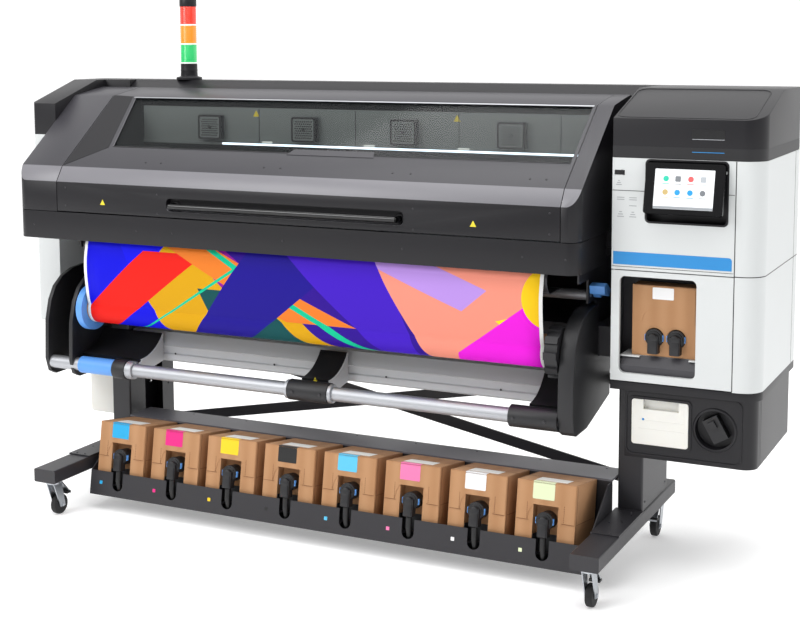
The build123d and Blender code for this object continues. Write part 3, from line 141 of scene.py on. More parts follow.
def add_turned(shape, profile, matrix, segments=40):
    """A solid of revolution: (radius, height) points about +Z, placed by the matrix."""
    rings = []
    for radius, height in profile:
        if radius < 1e-6:
            rings.append([shape.verts.new(matrix @ Vector((0, 0, height)))])
            continue
        turns = [2 * math.pi * i / segments for i in range(segments)]
        rings.append([shape.verts.new(matrix @ Vector((radius * math.cos(a), radius * math.sin(a), height)))
                      for a in turns])
    for low, high in zip(rings, rings[1:]):
        for i in range(segments):
            j = (i + 1) % segments
            loop = [low[i % len(low)], low[j % len(low)], high[j % len(high)], high[i % len(high)]]
            face = list(dict.fromkeys(loop))
            if len(face) > 2:
                shape.faces.new(face)


def add_outline(shape, points, depth, matrix):
    """A flat outline given depth along its local Z, placed by the matrix."""
    front = [shape.verts.new(matrix @ Vector((x, y, 0))) for x, y in points]
    back = [shape.verts.new(matrix @ Vector((x, y, depth))) for x, y in points]
    shape.faces.new(front)
    shape.faces.new(back[::-1])
    for i in range(len(points)):
        j = (i + 1) % len(points)
        shape.faces.new([front[j], front[i], back[i], back[j]])


def rounded(width, height, radius, steps=5):
    """A rounded rectangle about the origin."""
    points = []
    for k, (sx, sy) in enumerate(((1, 1), (-1, 1), (-1, -1), (1, -1))):
        cx, cy = sx * (width / 2 - radius), sy * (height / 2 - radius)
        for i in range(steps + 1):
            angle = math.radians(90 * k + 90 * i / steps)
            points.append((cx + radius * math.cos(angle), cy + radius * math.sin(angle)))
    return points


def add_ring(shape, outer, inner, depth, matrix):
    """A flat frame between two outlines with the same number of points, given depth along local Z."""
    rings = [[shape.verts.new(matrix @ Vector((x, y, z))) for x, y in line]
             for line, z in ((outer, 0), (outer, depth), (inner, depth), (inner, 0))]
    for a, b in zip(rings, rings[1:] + rings[:1]):
        for i in range(len(outer)):
            j = (i + 1) % len(outer)
            shape.faces.new([a[i], a[j], b[j], b[i]])


def add_ribbon(shape, plan, z0, z1, out=0.5):
    """An upright strip along an open (x, y) plan line, raised towards the line's right-hand side."""
    outer = []
    for i, (x, y) in enumerate(plan):
        before, after = plan[max(i - 1, 0)], plan[min(i + 1, len(plan) - 1)]
        run = Vector((after[0] - before[0], after[1] - before[1])).normalized()
        outer.append((x + run.y * out, y - run.x * out))
    loop = list(plan) + outer[::-1]
    add_outline(shape, loop, z1 - z0, Matrix.Translation((0, 0, z0)))


def cabinet_plan(x_start, y_end, steps=10):
    """The cabinet's front edge, rounded corner and right side as a plan line, left to right."""
    low, high = corners("cabinet_cap")
    turn = CABINET_CORNER
    plan = [(x_start, low[1])]
    for i in range(steps + 1):
        angle = math.radians(-90 + 90 * i / steps)
        plan.append((high[0] - turn + turn * math.cos(angle), low[1] + turn + turn * math.sin(angle)))
    return plan + [(high[0], y_end)]


def facing_front(x, y, z):
    """Local X to the right, local Y up, local Z out of the front."""
    return Matrix.Translation((x, y, z)) @ Matrix(FACING_FRONT)


def along_x(x, y, z):
    """Local Z along +X."""
    return Matrix.Translation((x, y, z)) @ Matrix.Rotation(math.radians(90), 4, "Y")


def leaning(x):
    """A carton's own frame: origin in the middle of its front top edge."""
    return Matrix.Translation((x, *CARTON_TOP)) @ Matrix.Rotation(math.radians(-CARTON_LEAN), 4, "X")


def on_slope(x, up, out=0.0):
    """The lid's sloping face: local X across, local Y up the slope, local Z out."""
    turn = Matrix.Rotation(math.radians(SLOPE), 4, "X")
    return Matrix.Translation((x, *BEVEL)) @ turn @ Matrix.Translation((0, up, out))


def soften(node, body, material, radius, angle=35, tiers=None):
    """A copy of a CAD node with its edges rounded, which stands for the node.

    With tiers, faces that look up more than each limit take the next material."""
    source = bpy.data.objects[node]
    shape = bmesh.new()
    shape.from_mesh(source.data)
    bmesh.ops.remove_doubles(shape, verts=shape.verts, dist=1e-6)
    bmesh.ops.dissolve_limit(shape, angle_limit=math.radians(1), verts=shape.verts, edges=shape.edges)
    mesh = bpy.data.meshes.new(node + "_rounded")
    shape.to_mesh(mesh)
    shape.free()
    piece = bpy.data.objects.new(node + "_rounded", mesh)
    bpy.context.scene.collection.objects.link(piece)
    bevel = piece.modifiers.new("edges", "BEVEL")
    bevel.width = radius / 1000
    bevel.segments = 3
    bevel.limit_method = "ANGLE"
    bevel.angle_limit = math.radians(angle)
    bevel.use_clamp_overlap = True
    bevel.harden_normals = False
    depsgraph = bpy.context.evaluated_depsgraph_get()
    final = bpy.data.meshes.new_from_object(piece.evaluated_get(depsgraph))
    bpy.data.objects.remove(piece)
    final.name = node + "_rounded"
    for polygon in final.polygons:
        polygon.use_smooth = True
    final.set_sharp_from_angle(angle=math.radians(28))
    made = keep(node + "_rounded", final, material, body)
    for polygon in final.polygons if tiers else ():
        polygon.material_index = sum(polygon.normal.z > limit for limit in tiers)
    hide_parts(node)
    return made


# ---- materials ------------------------------------------------------------------
def linear(code, gain=1.0):
    """An sRGB hex colour as linear RGBA."""
    parts = [int(code[i:i + 2], 16) / 255 for i in (0, 2, 4)]
    parts = [c / 12.92 if c <= 0.04045 else ((c + 0.055) / 1.055) ** 2.4 for c in parts]
    return (*[min(c * gain, 1.0) for c in parts], 1.0)


def add(tree, kind, inputs=None, **settings):
    """Adds a node with its settings, values and links."""
    made = tree.nodes.new(kind)
    for key, value in settings.items():
        setattr(made, key, value)
    for socket, value in (inputs or {}).items():
        if isinstance(value, bpy.types.NodeSocket):
            tree.links.new(value, made.inputs[socket])
        else:
            made.inputs[socket].default_value = value
    return made


def surface(name, colour, rough, metallic=0.0, grain_mm=1.5, grain=0.08, shade=0.06, patch_mm=220,
            stretch=(1, 1, 1), shader=None):
    """A finish with broad shade and gloss variation and a fine surface texture of a real size."""
    made = bpy.data.materials.new(name)
    made.use_nodes = True
    tree = made.node_tree
    tree.nodes.clear()
    place = add(tree, "ShaderNodeTexCoord").outputs["Object"]
    stretched = add(tree, "ShaderNodeMapping", {"Vector": place, "Scale": stretch}).outputs["Vector"]
    broad = add(tree, "ShaderNodeTexNoise", {"Vector": place, "Scale": 1000 / patch_mm, "Detail": 3.0})
    fine = add(tree, "ShaderNodeTexNoise", {"Vector": stretched, "Scale": 1000 / grain_mm, "Detail": 2.0})
    tone = add(tree, "ShaderNodeMix", data_type="RGBA")
    tree.links.new(broad.outputs["Fac"], tone.inputs[0])
    tone.inputs[6].default_value = linear(colour, 1 - shade)
    tone.inputs[7].default_value = linear(colour, 1 + shade)
    gloss = add(tree, "ShaderNodeMapRange", {"Value": fine.outputs["Fac"], "To Min": rough - 0.04,
                                             "To Max": rough + 0.05})
    bump = add(tree, "ShaderNodeBump", {"Height": fine.outputs["Fac"], "Strength": grain,
                                        "Distance": grain_mm / 1000})
    body = add(tree, "ShaderNodeBsdfPrincipled",
               {"Base Color": tone.outputs[2], "Roughness": gloss.outputs["Result"],
                                                  "Metallic": metallic, "Normal": bump.outputs["Normal"],
                                                  **(shader or {})})
    add(tree, "ShaderNodeOutputMaterial", {"Surface": body.outputs["BSDF"]})
    made.diffuse_color = linear(colour)
    return made


FINISHES = {}


def finish(name):
    """The named finish, made the first time it is asked for."""
    if name not in FINISHES:
        FINISHES[name] = RECIPES[name](name)
    return FINISHES[name]


def charcoal_abs(name):
    # Injection moulded ABS with a fine spark-eroded grain: even, satin, soft highlights.
    return surface(name, bpy.context.scene.printer_colours.charcoal_hex, 0.42, grain_mm=1.4, grain=0.05)


def black_abs(name):
    # The same ABS in near black, used for the end covers.
    return surface(name, bpy.context.scene.printer_colours.black_hex, 0.42, grain_mm=1.4, grain=0.05,
                   shader={"Specular IOR Level": 0.35})


def white_abs(name):
    # Cool white satin ABS: slight sheen, almost no visible grain.
    return surface(name, bpy.context.scene.printer_colours.white_hex, 0.38, grain_mm=1.2, grain=0.04,
                   shade=0.015)


def chamfer_highlight_abs(name):
    # The same moulding on its narrow chamfer, coloured lighter as a painted highlight of the overhead lights
    # on the angled face.
    return surface(name, "77767b", 0.36, grain_mm=1.4, grain=0.06)


def powder_coat(name):
    # Black powder coat on folded steel: a fine orange peel under a soft gloss.
    return surface(name, "29282c", 0.44, grain_mm=2.2, grain=0.08, shade=0.10)


def graphite_coat(name):
    # Graphite powder coat, on the shelf behind the cartons.
    return surface(name, "6c6b71", 0.40, grain_mm=2.2, grain=0.06, shade=0.06)


def gloss_paint(name):
    # Black stoved gloss paint on the grip tube: a clear bright line along its top.
    return surface(name, "121214", 0.16, grain_mm=8.0, grain=0.01, shade=0.05)


def panel_paint(name):
    # Dull green-grey paint inside the machine, seen through the window.
    return surface(name, "767e7b", 0.55, grain_mm=3.0, grain=0.05, shade=0.10)


def grey_paint(name):
    # Light grey stoved paint on an extruded beam.
    return surface(name, "c4c7ca", 0.36, grain_mm=2.0, grain=0.05, shade=0.03)


def anodised(name):
    # Clear anodised aluminium tube: drawn lines along its length.
    return surface(name, "b4b6ba", 0.5, metallic=0.9, grain_mm=1.0, grain=0.05, stretch=(0.02, 1, 1))


def ground_steel(name):
    # Ground steel rail: fine rings round the bar, brighter than the castings.
    return surface(name, "b9bbbe", 0.24, metallic=1.0, grain_mm=0.9, grain=0.06, stretch=(1, 0.05, 0.05))


def zinc_steel(name):
    # Zinc plated pressing: cool, slightly cloudy.
    return surface(name, "b4b8bd", 0.33, metallic=1.0, grain_mm=3.0, grain=0.06, shade=0.12, patch_mm=30)


def black_nylon(name):
    # Glass-filled nylon: dull black with a dry grain.
    return surface(name, "19191c", 0.48, grain_mm=1.1, grain=0.05)


def blue_nylon(name):
    # Light blue moulded nylon, the colour of parts a hand may touch.
    return surface(name, "5c9be6", 0.40, grain_mm=1.2, grain=0.06, shade=0.04)


def tread_rubber(name):
    # Solid rubber tyre: matt, dusty on the tread.
    return surface(name, "1d1d1e", 0.74, grain_mm=1.8, grain=0.22, shade=0.20, patch_mm=20)


def elbow_rubber(name):
    # Moulded rubber hose and seals: matt black, softly lit.
    return surface(name, "161617", 0.45, grain_mm=1.5, grain=0.08, shade=0.10)


def milky_polyethylene(name):
    # Blow moulded polyethylene: milky, with light bleeding through it.
    return surface(name, "e9e8e2", 0.42, grain_mm=4.0, grain=0.06, shade=0.02,
                   shader={"Subsurface Weight": 0.35, "Subsurface Radius": (0.02, 0.018, 0.015)})


def tinted_pane(name):
    # Smoked polycarbonate sheet: a clear dark tint with a hard shine.
    return surface(name, "1d2224", 0.06, grain_mm=40, grain=0.0, shade=0.05,
                   shader={"Alpha": 0.20, "IOR": 1.58})


def bezel_gloss(name):
    # Painted glass front of a display: deep black and glossy.
    return surface(name, "0c0c0e", 0.12, grain_mm=30, grain=0.01, shade=0.05)


def kraft(name):
    """Kraft liner board: fibres, faint flute lines under the liner, uneven brown."""
    made = surface(name, "b78a62", 0.78, grain_mm=1.6, grain=0.16, shade=0.05, patch_mm=90,
                   stretch=(1, 1, 0.25))
    tree = made.node_tree
    shader = next(n for n in tree.nodes if n.type == "BSDF_PRINCIPLED")
    tone = shader.inputs["Base Color"].links[0].from_socket
    place = add(tree, "ShaderNodeTexCoord").outputs["Object"]
    # Flutes are 4 mm apart; drawn at 8 mm so that they show.
    flute = add(tree, "ShaderNodeTexWave", {"Vector": place, "Scale": 1000 / 8 / 20, "Distortion": 0.4},
                bands_direction="X")
    darker = add(tree, "ShaderNodeMix", {"Factor": flute.outputs["Fac"]}, data_type="RGBA",
                 blend_type="MULTIPLY")
    tree.links.new(tone, darker.inputs[6])
    darker.inputs[7].default_value = linear("f4efe9")
    tree.links.new(darker.outputs[2], shader.inputs["Base Color"])
    return made


def roll_paper(name):
    # White coated media wound on a roll.
    return surface(name, "eceae6", 0.50, grain_mm=2.0, grain=0.03, shade=0.01)


def glow(name, colour, strength):
    # Lit acrylic or display glass: even light, no texture.
    return surface(name, colour, 0.4, grain_mm=10, grain=0.0, shade=0.02,
                   shader={"Emission Color": linear(colour), "Emission Strength": strength})


def lens(colour):
    # Ribbed coloured acrylic lens of a stack lamp, lit faintly from inside.
    def make(name):
        return surface(name, colour, 0.18, grain_mm=6, grain=0.05, shade=0.05,
                       shader={"Emission Color": linear(colour), "Emission Strength": 0.35,
                               "Coat Weight": 0.5})
    return make


def ink_label(colour):
    # Coated paper label.
    def make(name):
        return surface(name, colour, 0.45, grain_mm=2.0, grain=0.03, shade=0.02)
    return make


LABELS = ("1aa6dc", "e0187f", "f4cd10", "151515", "58bfe6", "ef79ad", "eeeeee", "dfe8bf")
RECIPES = {
    "charcoal ABS": charcoal_abs, "chamfer highlight ABS": chamfer_highlight_abs, "graphite powder coat": graphite_coat,
    "interior paint": panel_paint, "gloss black paint": gloss_paint,
    "black ABS": black_abs, "white ABS": white_abs,
    # Near black dots and slots drawn on a face: painted shade standing for the dark inside of holes.
    "hole shade black": lambda name: surface(name, "060607", 0.8, grain=0.0),
    "black powder coat": powder_coat, "grey stoved paint": grey_paint, "anodised aluminium": anodised,
    "ground steel": ground_steel, "zinc plated steel": zinc_steel, "glass-filled nylon": black_nylon,
    "blue nylon": blue_nylon, "tyre rubber": tread_rubber, "moulded rubber": elbow_rubber,
    "milky polyethylene": milky_polyethylene, "smoked polycarbonate": tinted_pane,
    "display glass": bezel_gloss, "kraft board": kraft, "coated roll paper": roll_paper,
    "red acrylic lens": lens("e8321c"), "amber acrylic lens": lens("f08a12"),
    "green acrylic lens": lens("28c06a"),
    "white acrylic ring": lens("e8efe8"),
    "lamp strip": lambda name: glow(name, "dff2ff", 2.6),
    "display panel": lambda name: glow(name, "e4e6e8", 0.30),
    "blue vinyl strip": ink_label("2488cc"), "yellow vinyl mark": ink_label("e2cf2b"),
}
for index, shade_hex in enumerate(LABELS):
    RECIPES[f"paper label {index + 1}"] = ink_label(shade_hex)

SLOT_FINISH = {
    "cover_white": "white ABS", "cover_black": "black ABS", "lid_grey": "charcoal ABS",
    "steel_black": "black powder coat", "steel_grey": "grey stoved paint", "aluminium": "anodised aluminium",
    "steel_bright": "ground steel", "zinc": "zinc plated steel", "glass": "smoked polycarbonate",
    "rubber": "tyre rubber", "blue_plastic": "blue nylon", "plastic_black": "glass-filled nylon",
    "kraft": "kraft board", "hose": "moulded rubber", "paper": "coated roll paper", "screen": "display glass",
    "bottle": "milky polyethylene", "lamp": "black ABS",
}


# Nodes whose surface differs from the rest of their material slot.
NODE_FINISH = {"tray_shelf": "graphite powder coat", "dryer_panel": "interior paint",
               "lid_handle": "gloss black paint"}


def node_slots():
    return {part["node"]: part["material_slot"] for part in frame["record"]["subparts"]}


# ---- printed sheet --------------------------------------------------------------
def printed_vinyl(name):
    """Printed vinyl: flat bright facets on white stock, laid out on the sheet's own map."""
    made = bpy.data.materials.new(name)
    made.use_nodes = True
    tree = made.node_tree
    tree.nodes.clear()
    cloth = add(tree, "ShaderNodeUVMap", uv_map="sheet").outputs["UV"]
    split = add(tree, "ShaderNodeSeparateXYZ", {"Vector": cloth})
    u, v = split.outputs["X"], split.outputs["Y"]

    def side(a, b, c):
        """1 where a*u + b*v > c; u runs 0 to 1 across and v 0 to 1 down the sheet."""
        first = add(tree, "ShaderNodeMath", {0: u, 1: a}, operation="MULTIPLY").outputs[0]
        both = add(tree, "ShaderNodeMath", {0: v, 1: b, 2: first}, operation="MULTIPLY_ADD").outputs[0]
        return add(tree, "ShaderNodeMath", {0: both, 1: c}, operation="GREATER_THAN").outputs[0]

    def inside_circle(cu, cv, radius):
        """1 inside a circle, with v scaled by the sheet's share of height to width."""
        du = add(tree, "ShaderNodeMath", {0: u, 1: cu}, operation="SUBTRACT").outputs[0]
        dv = add(tree, "ShaderNodeMath", {0: v, 1: cv}, operation="SUBTRACT").outputs[0]
        dv = add(tree, "ShaderNodeMath", {0: dv, 1: 0.24}, operation="MULTIPLY").outputs[0]
        uu = add(tree, "ShaderNodeMath", {0: du, 1: du}, operation="MULTIPLY").outputs[0]
        rr = add(tree, "ShaderNodeMath", {0: dv, 1: dv, 2: uu}, operation="MULTIPLY_ADD").outputs[0]
        return add(tree, "ShaderNodeMath", {0: rr, 1: radius * radius}, operation="LESS_THAN").outputs[0]

    colour = None
    for hex_code, planes, circle in PRINT_FACETS:
        masks = [side(*plane) for plane in planes] + ([inside_circle(*circle)] if circle else [])
        mask = masks[0] if masks else None
        for other in masks[1:]:
            mask = add(tree, "ShaderNodeMath", {0: mask, 1: other}, operation="MULTIPLY").outputs[0]
        mix = add(tree, "ShaderNodeMix", data_type="RGBA")
        mix.inputs[7].default_value = linear(hex_code)
        if colour is None:
            mix.inputs[0].default_value = 1.0
        else:
            tree.links.new(mask, mix.inputs[0])
            tree.links.new(colour, mix.inputs[6])
        colour = mix.outputs[2]
    grain = add(tree, "ShaderNodeTexNoise", {"Vector": add(tree, "ShaderNodeTexCoord").outputs["Object"],
                                             "Scale": 400.0, "Detail": 2.0})
    bump = add(tree, "ShaderNodeBump", {"Height": grain.outputs["Fac"], "Strength": 0.03, "Distance": 0.001})
    gloss = add(tree, "ShaderNodeMapRange", {"Value": grain.outputs["Fac"], "To Min": 0.55, "To Max": 0.62})
    shader = add(tree, "ShaderNodeBsdfPrincipled",
                 {"Base Color": colour, "Roughness": gloss.outputs["Result"],
                  "Normal": bump.outputs["Normal"], "Specular IOR Level": 0.15})
    add(tree, "ShaderNodeOutputMaterial", {"Surface": shader.outputs["BSDF"]})
    return made


# Each facet: colour, half-planes a*u + b*v > c that bound it, and a circle or None.
PRINT_FACETS = [
    ("2c0688", [], None),
    ("cf9a08", [(-1, 0.35, -0.245)], None),
    ("0a0ae0", [(-1, -0.22, -0.25), (0, 1, 0.22)], None),
    ("e818e0", [(-1, -0.9, -0.20)], None),
    ("0808d0", [(-1, 0.16, -0.045)], None),
    ("e01c12", [(1, 0.30, 0.235), (-1, -0.36, -0.40), (0, 1, 0.30)], None),
    ("0a4a4c", [(1, -0.12, 0.21), (-1, 0.30, -0.235), (0, 1, 0.55)], None),
    ("8a1290", [(1, -0.30, 0.175), (-1, 0.42, -0.23), (0, -1, -0.62)], None),
    ("e07828", [(1, -0.55, 0.06), (-1, 0.62, -0.16), (0, -1, -0.75)], None),
    ("06bb8c", [(1, -0.50, 0.165), (-1, 0.505, -0.185)], None),
    ("06bb8c", [(1, 0.42, 0.52), (-1, -0.43, -0.535)], None),
    ("1a0c86", [(1, 0.20, 0.44), (-1, -0.34, -0.70)], None),
    ("3f16b8", [(1, -0.30, 0.40), (-1, 0.10, -0.66)], None),
    ("e58c78", [(1, -0.16, 0.625)], None),
    ("b08ad8", [(1, -0.70, 0.46), (-1, 0.74, -0.60), (1, -0.16, 0.625)], None),
    ("e58c78", [(1, -0.16, 0.625), (1, 0.32, 1.02)], None),
    ("e8d21c", [(1, -0.35, 0.70), (1, 0.9, 1.45)], None),
    ("e018d0", [(1, 0.36, 1.14), (0, 1, 0.45)], (0.99, 1.0, 0.16)),
    ("f2c41a", [(1, 0, 0.9)], (1.01, 0.42, 0.05)),
    ("f4f4f2", [(-1, 0, -0.007)], None),
    ("f4f4f2", [(1, 0, 0.993)], None),
]


def sheet_line():
    """The sheet's side line, (y, z) in millimetres: bed, nose, fall, and round the roll."""
    nose_y, nose_z, nose_r = -131.0, 860.0, 46.6
    line = [(nose_y + 60, 906.6), (nose_y + 30, 906.6)]
    for i in range(19):
        angle = math.radians(90 + i * 5)
        line.append((nose_y + nose_r * math.cos(angle), nose_z + nose_r * math.sin(angle)))
    fall = [(-181.0, 846.0), (-185.0, 825.0), (-186.5, 800.0), (-185.5, 770.0), (-182.5, 740.0),
            (-178.0, 708.0),
            (-173.5, 682.0)]
    roll_r = 50.4
    for i in range(28):
        angle = math.radians(158 + i * 4.5)
        fall.append((TAKEUP[0] + roll_r * math.cos(angle), TAKEUP[1] + roll_r * math.sin(angle)))
    return smooth_line(line + fall)


def smooth_line(points, rounds=2):
    """Corner cutting that keeps the ends."""
    for _ in range(rounds):
        cut = [points[0]]
        for a, b in zip(points, points[1:]):
            cut.append((a[0] * 0.75 + b[0] * 0.25, a[1] * 0.75 + b[1] * 0.25))
            cut.append((a[0] * 0.25 + b[0] * 0.75, a[1] * 0.25 + b[1] * 0.75))
        points = cut + [points[-1]]
    return points


def line_length(points):
    return sum(math.dist(a, b) for a, b in zip(points, points[1:]))


# ---- operators ------------------------------------------------------------------
class PRINTER_OT_stage(bpy.types.Operator):
    """Pale studio floor and backdrop, soft lights and the camera"""
    bl_idname = "printer.stage"
    bl_label = "Stage"

    def execute(self, context):
        settings = context.scene.printer_stage
        shape = bmesh.new()
        shape.faces.new([shape.verts.new((x * 40000, y * 40000, 0)) for x,
                         y in ((-1, -1), (1, -1), (1, 1), (-1, 1))])
        floor = from_bmesh("studio_floor", shape, surface(
            "matt studio paper", settings.floor_hex, 0.85, grain_mm=8, grain=0.02, shade=0.004, patch_mm=2500,
            shader={"Emission Color": linear("ffffff"), "Emission Strength": 0.28}))
        world = bpy.data.worlds.new("studio")
        world.use_nodes = True
        tree = world.node_tree
        way = add(tree, "ShaderNodeSeparateXYZ",
                  {"Vector": add(tree, "ShaderNodeTexCoord").outputs["Generated"]})
        share = add(tree, "ShaderNodeMapRange", {"Value": way.outputs["Y"], "From Min": -0.6,
                                                 "From Max": 0.3,
                                                 "To Min": settings.sky * 0.3, "To Max": settings.sky})
        backdrop = tree.nodes["Background"]
        backdrop.inputs["Color"].default_value = linear("ffffff")
        tree.links.new(share.outputs["Result"], backdrop.inputs["Strength"])
        context.scene.world = world
        context.scene.view_settings.view_transform = "Standard"
        for name, at, size, power in (("key", (-3.2, -4.6, 4.2), 3.0, settings.key),
                                      ("top", (0.3, -0.6, 4.8), 4.5, settings.top),
                                      ("fill", (4.6, -2.6, 2.2), 2.6, settings.fill)):
            lamp = bpy.data.lights.new(name, "AREA")
            lamp.size = size
            lamp.energy = power
            light = bpy.data.objects.new(name, lamp)
            light.location = at
            light.rotation_euler = (Vector((0, 0, 0.8)) - Vector(at)).to_track_quat("-Z", "Y").to_euler()
            context.scene.collection.objects.link(light)
        self.camera(context)
        return {"FINISHED"}

    def camera(self, context):
        yaw, pitch, roll = (math.radians(v) for v in (CAMERA_YAW, CAMERA_PITCH, CAMERA_ROLL))
        forward = Vector((-math.sin(yaw) * math.cos(pitch), math.cos(yaw) * math.cos(pitch),
                          -math.sin(pitch)))
        level = forward.cross(Vector((0, 0, 1))).normalized()
        up = level.cross(forward)
        right = level * math.cos(roll) + up * math.sin(roll)
        top = up * math.cos(roll) - level * math.sin(roll)
        lens_data = bpy.data.cameras.new("camera")
        lens_data.sensor_fit = "HORIZONTAL"
        lens_data.sensor_width = 36
        lens_data.lens = CAMERA_LENS
        lens_data.shift_y = CAMERA_SHIFT_Y
        lens_data.clip_end = 100
        camera = bpy.data.objects.new("camera", lens_data)
        camera.matrix_world = Matrix.Translation(CAMERA_AT) @ Matrix((right, top,
                                                                      -forward)).transposed().to_4x4()
        context.scene.collection.objects.link(camera)
        context.scene.camera = camera


class PRINTER_OT_finishes(bpy.types.Operator):
    """Gives every CAD node its finish"""
    bl_idname = "printer.finishes"
    bl_label = "Finishes"

    def execute(self, context):
        for node, slot in node_slots().items():
            piece = bpy.data.objects[node]
            piece.data.materials.clear()
            piece.data.materials.append(finish(NODE_FINISH.get(node, SLOT_FINISH[slot])))
        return {"FINISHED"}


class PRINTER_OT_covers(bpy.types.Operator):
    """Rounds the moulded covers' edges"""
    bl_idname = "printer.covers"
    bl_label = "Covers"

    def execute(self, context):
        radius = context.scene.printer_sizes.cover_edge * 1000
        # The middle tier, the chamfer between fascia and slope, is coloured lighter as a painted highlight.
        shades = [finish("black ABS"), finish("chamfer highlight ABS"), finish("charcoal ABS")]
        for node, body in (("cheek_left", "frame"), ("cheek_right", "frame"), ("window_lid", "window_lid")):
            soften(node, body, shades, radius * 0.5, tiers=(0.3, 0.72))
        soften("waste_bottle", "frame", finish("milky polyethylene"), radius * 3)
        for node, name, body in (
                ("front_beam", "black ABS", "frame"), ("top_beam", "black ABS", "frame"),
                ("left_cap", "black ABS", "frame"), ("cabinet_cap", "black ABS", "frame"),
                ("left_body", "white ABS", "frame"), ("lower_housing", "black ABS", "frame"),
                ("takeup_plate_left", "glass-filled nylon", "frame"), ("takeup_plate_right",
                                                                       "glass-filled nylon", "frame"),
                ("takeup_brackets", "glass-filled nylon", "frame"), ("load_lever", "blue nylon",
                                                                     "load_lever"),
                ("print_carriage", "glass-filled nylon", "print_carriage")):
            soften(node, body, finish(name), radius)
        return {"FINISHED"}


class PRINTER_OT_sheet(bpy.types.Operator):
    """The printed sheet: over the platen's nose, down, and round the take-up roll"""
    bl_idname = "printer.sheet"
    bl_label = "Printed sheet"

    def execute(self, context):
        line = sheet_line()
        low, high = corners("print_sheet")
        x0, x1 = low[0] + 0.5, high[0] - 0.5
        columns = 24
        total = line_length(line)
        mesh = bpy.data.meshes.new("print_sheet_cloth")
        shape = bmesh.new()
        uv = shape.loops.layers.uv.new("sheet")
        grid, run = [], 0.0
        for k, (y, z) in enumerate(line):
            if k:
                run += math.dist(line[k - 1], line[k])
            grid.append([(shape.verts.new((x0 + (x1 - x0) * i / columns, y, z)), i / columns, run / total)
                         for i in range(columns + 1)])
        for above, below in zip(grid, grid[1:]):
            for i in range(columns):
                four = (above[i], above[i + 1], below[i + 1], below[i])
                face = shape.faces.new([q[0] for q in four])
                face.smooth = True
                for loop, (_, u, v) in zip(face.loops, four):
                    loop[uv].uv = (u, v)
        bmesh.ops.scale(shape, vec=(0.001,) * 3, verts=shape.verts)
        bmesh.ops.recalc_face_normals(shape, faces=shape.faces)
        shape.to_mesh(mesh)
        shape.free()
        piece = keep("print_sheet_cloth", mesh, printed_vinyl("printed vinyl"), "frame")
        thick = piece.modifiers.new("stock", "SOLIDIFY")
        thick.thickness = 0.0004
        thick.offset = 0.0
        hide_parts("print_sheet")
        return {"FINISHED"}


def repeat_tree(name, sides, top_share):
    """A Geometry Nodes tree that sets a short round head on every point, facing the point's way."""
    tree = bpy.data.node_groups.new(name, "GeometryNodeTree")
    for label, kind in (("Points", "NodeSocketGeometry"), ("Radius", "NodeSocketFloat"),
                        ("Height", "NodeSocketFloat"), ("Finish", "NodeSocketMaterial")):
        tree.interface.new_socket(label, in_out="INPUT", socket_type=kind)
    tree.interface.new_socket("Heads", in_out="OUTPUT", socket_type="NodeSocketGeometry")
    given = add(tree, "NodeGroupInput").outputs
    narrow = add(tree, "ShaderNodeMath", {0: given["Radius"], 1: top_share}, operation="MULTIPLY").outputs[0]
    head = add(tree, "GeometryNodeMeshCone", {"Vertices": sides, "Radius Top": narrow,
                                              "Radius Bottom": given["Radius"],
                                              "Depth": given["Height"]})
    way = add(tree, "GeometryNodeInputNamedAttribute", {"Name": "outwards"}, data_type="FLOAT_VECTOR")
    turn = add(tree, "FunctionNodeAlignRotationToVector", {"Vector": way.outputs["Attribute"]}, axis="Z")
    heads = add(tree, "GeometryNodeInstanceOnPoints",
                {"Points": given["Points"], "Instance": head.outputs["Mesh"],
                                                       "Rotation": turn.outputs["Rotation"]})
    real = add(tree, "GeometryNodeRealizeInstances", {"Geometry": heads.outputs["Instances"]})
    coloured = add(tree, "GeometryNodeSetMaterial",
                   {"Geometry": real.outputs["Geometry"], "Material": given["Finish"]})
    add(tree, "NodeGroupOutput", {"Heads": coloured.outputs["Geometry"]})
    return tree


def scatter(name, tree, spots, radius, height, material, body="frame"):
    """Heads of one size on a list of (point, direction) in millimetres, as one plain mesh."""
    base = bpy.data.meshes.new(name + "_spots")
    base.from_pydata([[v / 1000 for v in at] for at, _ in spots], [], [])
    way = base.attributes.new("outwards", "FLOAT_VECTOR", "POINT")
    for i, (_, direction) in enumerate(spots):
        way.data[i].vector = direction
    holder = bpy.data.objects.new(name + "_spots", base)
    bpy.context.scene.collection.objects.link(holder)
    modifier = holder.modifiers.new("heads", "NODES")
    modifier.node_group = tree
    wanted = {"Radius": radius / 1000, "Height": height / 1000, "Finish": material}
    for item in tree.interface.items_tree:
        if item.in_out == "INPUT" and item.name in wanted:
            modifier[item.identifier] = wanted[item.name]
    depsgraph = bpy.context.evaluated_depsgraph_get()
    mesh = bpy.data.meshes.new_from_object(holder.evaluated_get(depsgraph))
    bpy.data.objects.remove(holder)
    return keep(name, mesh, material, body)




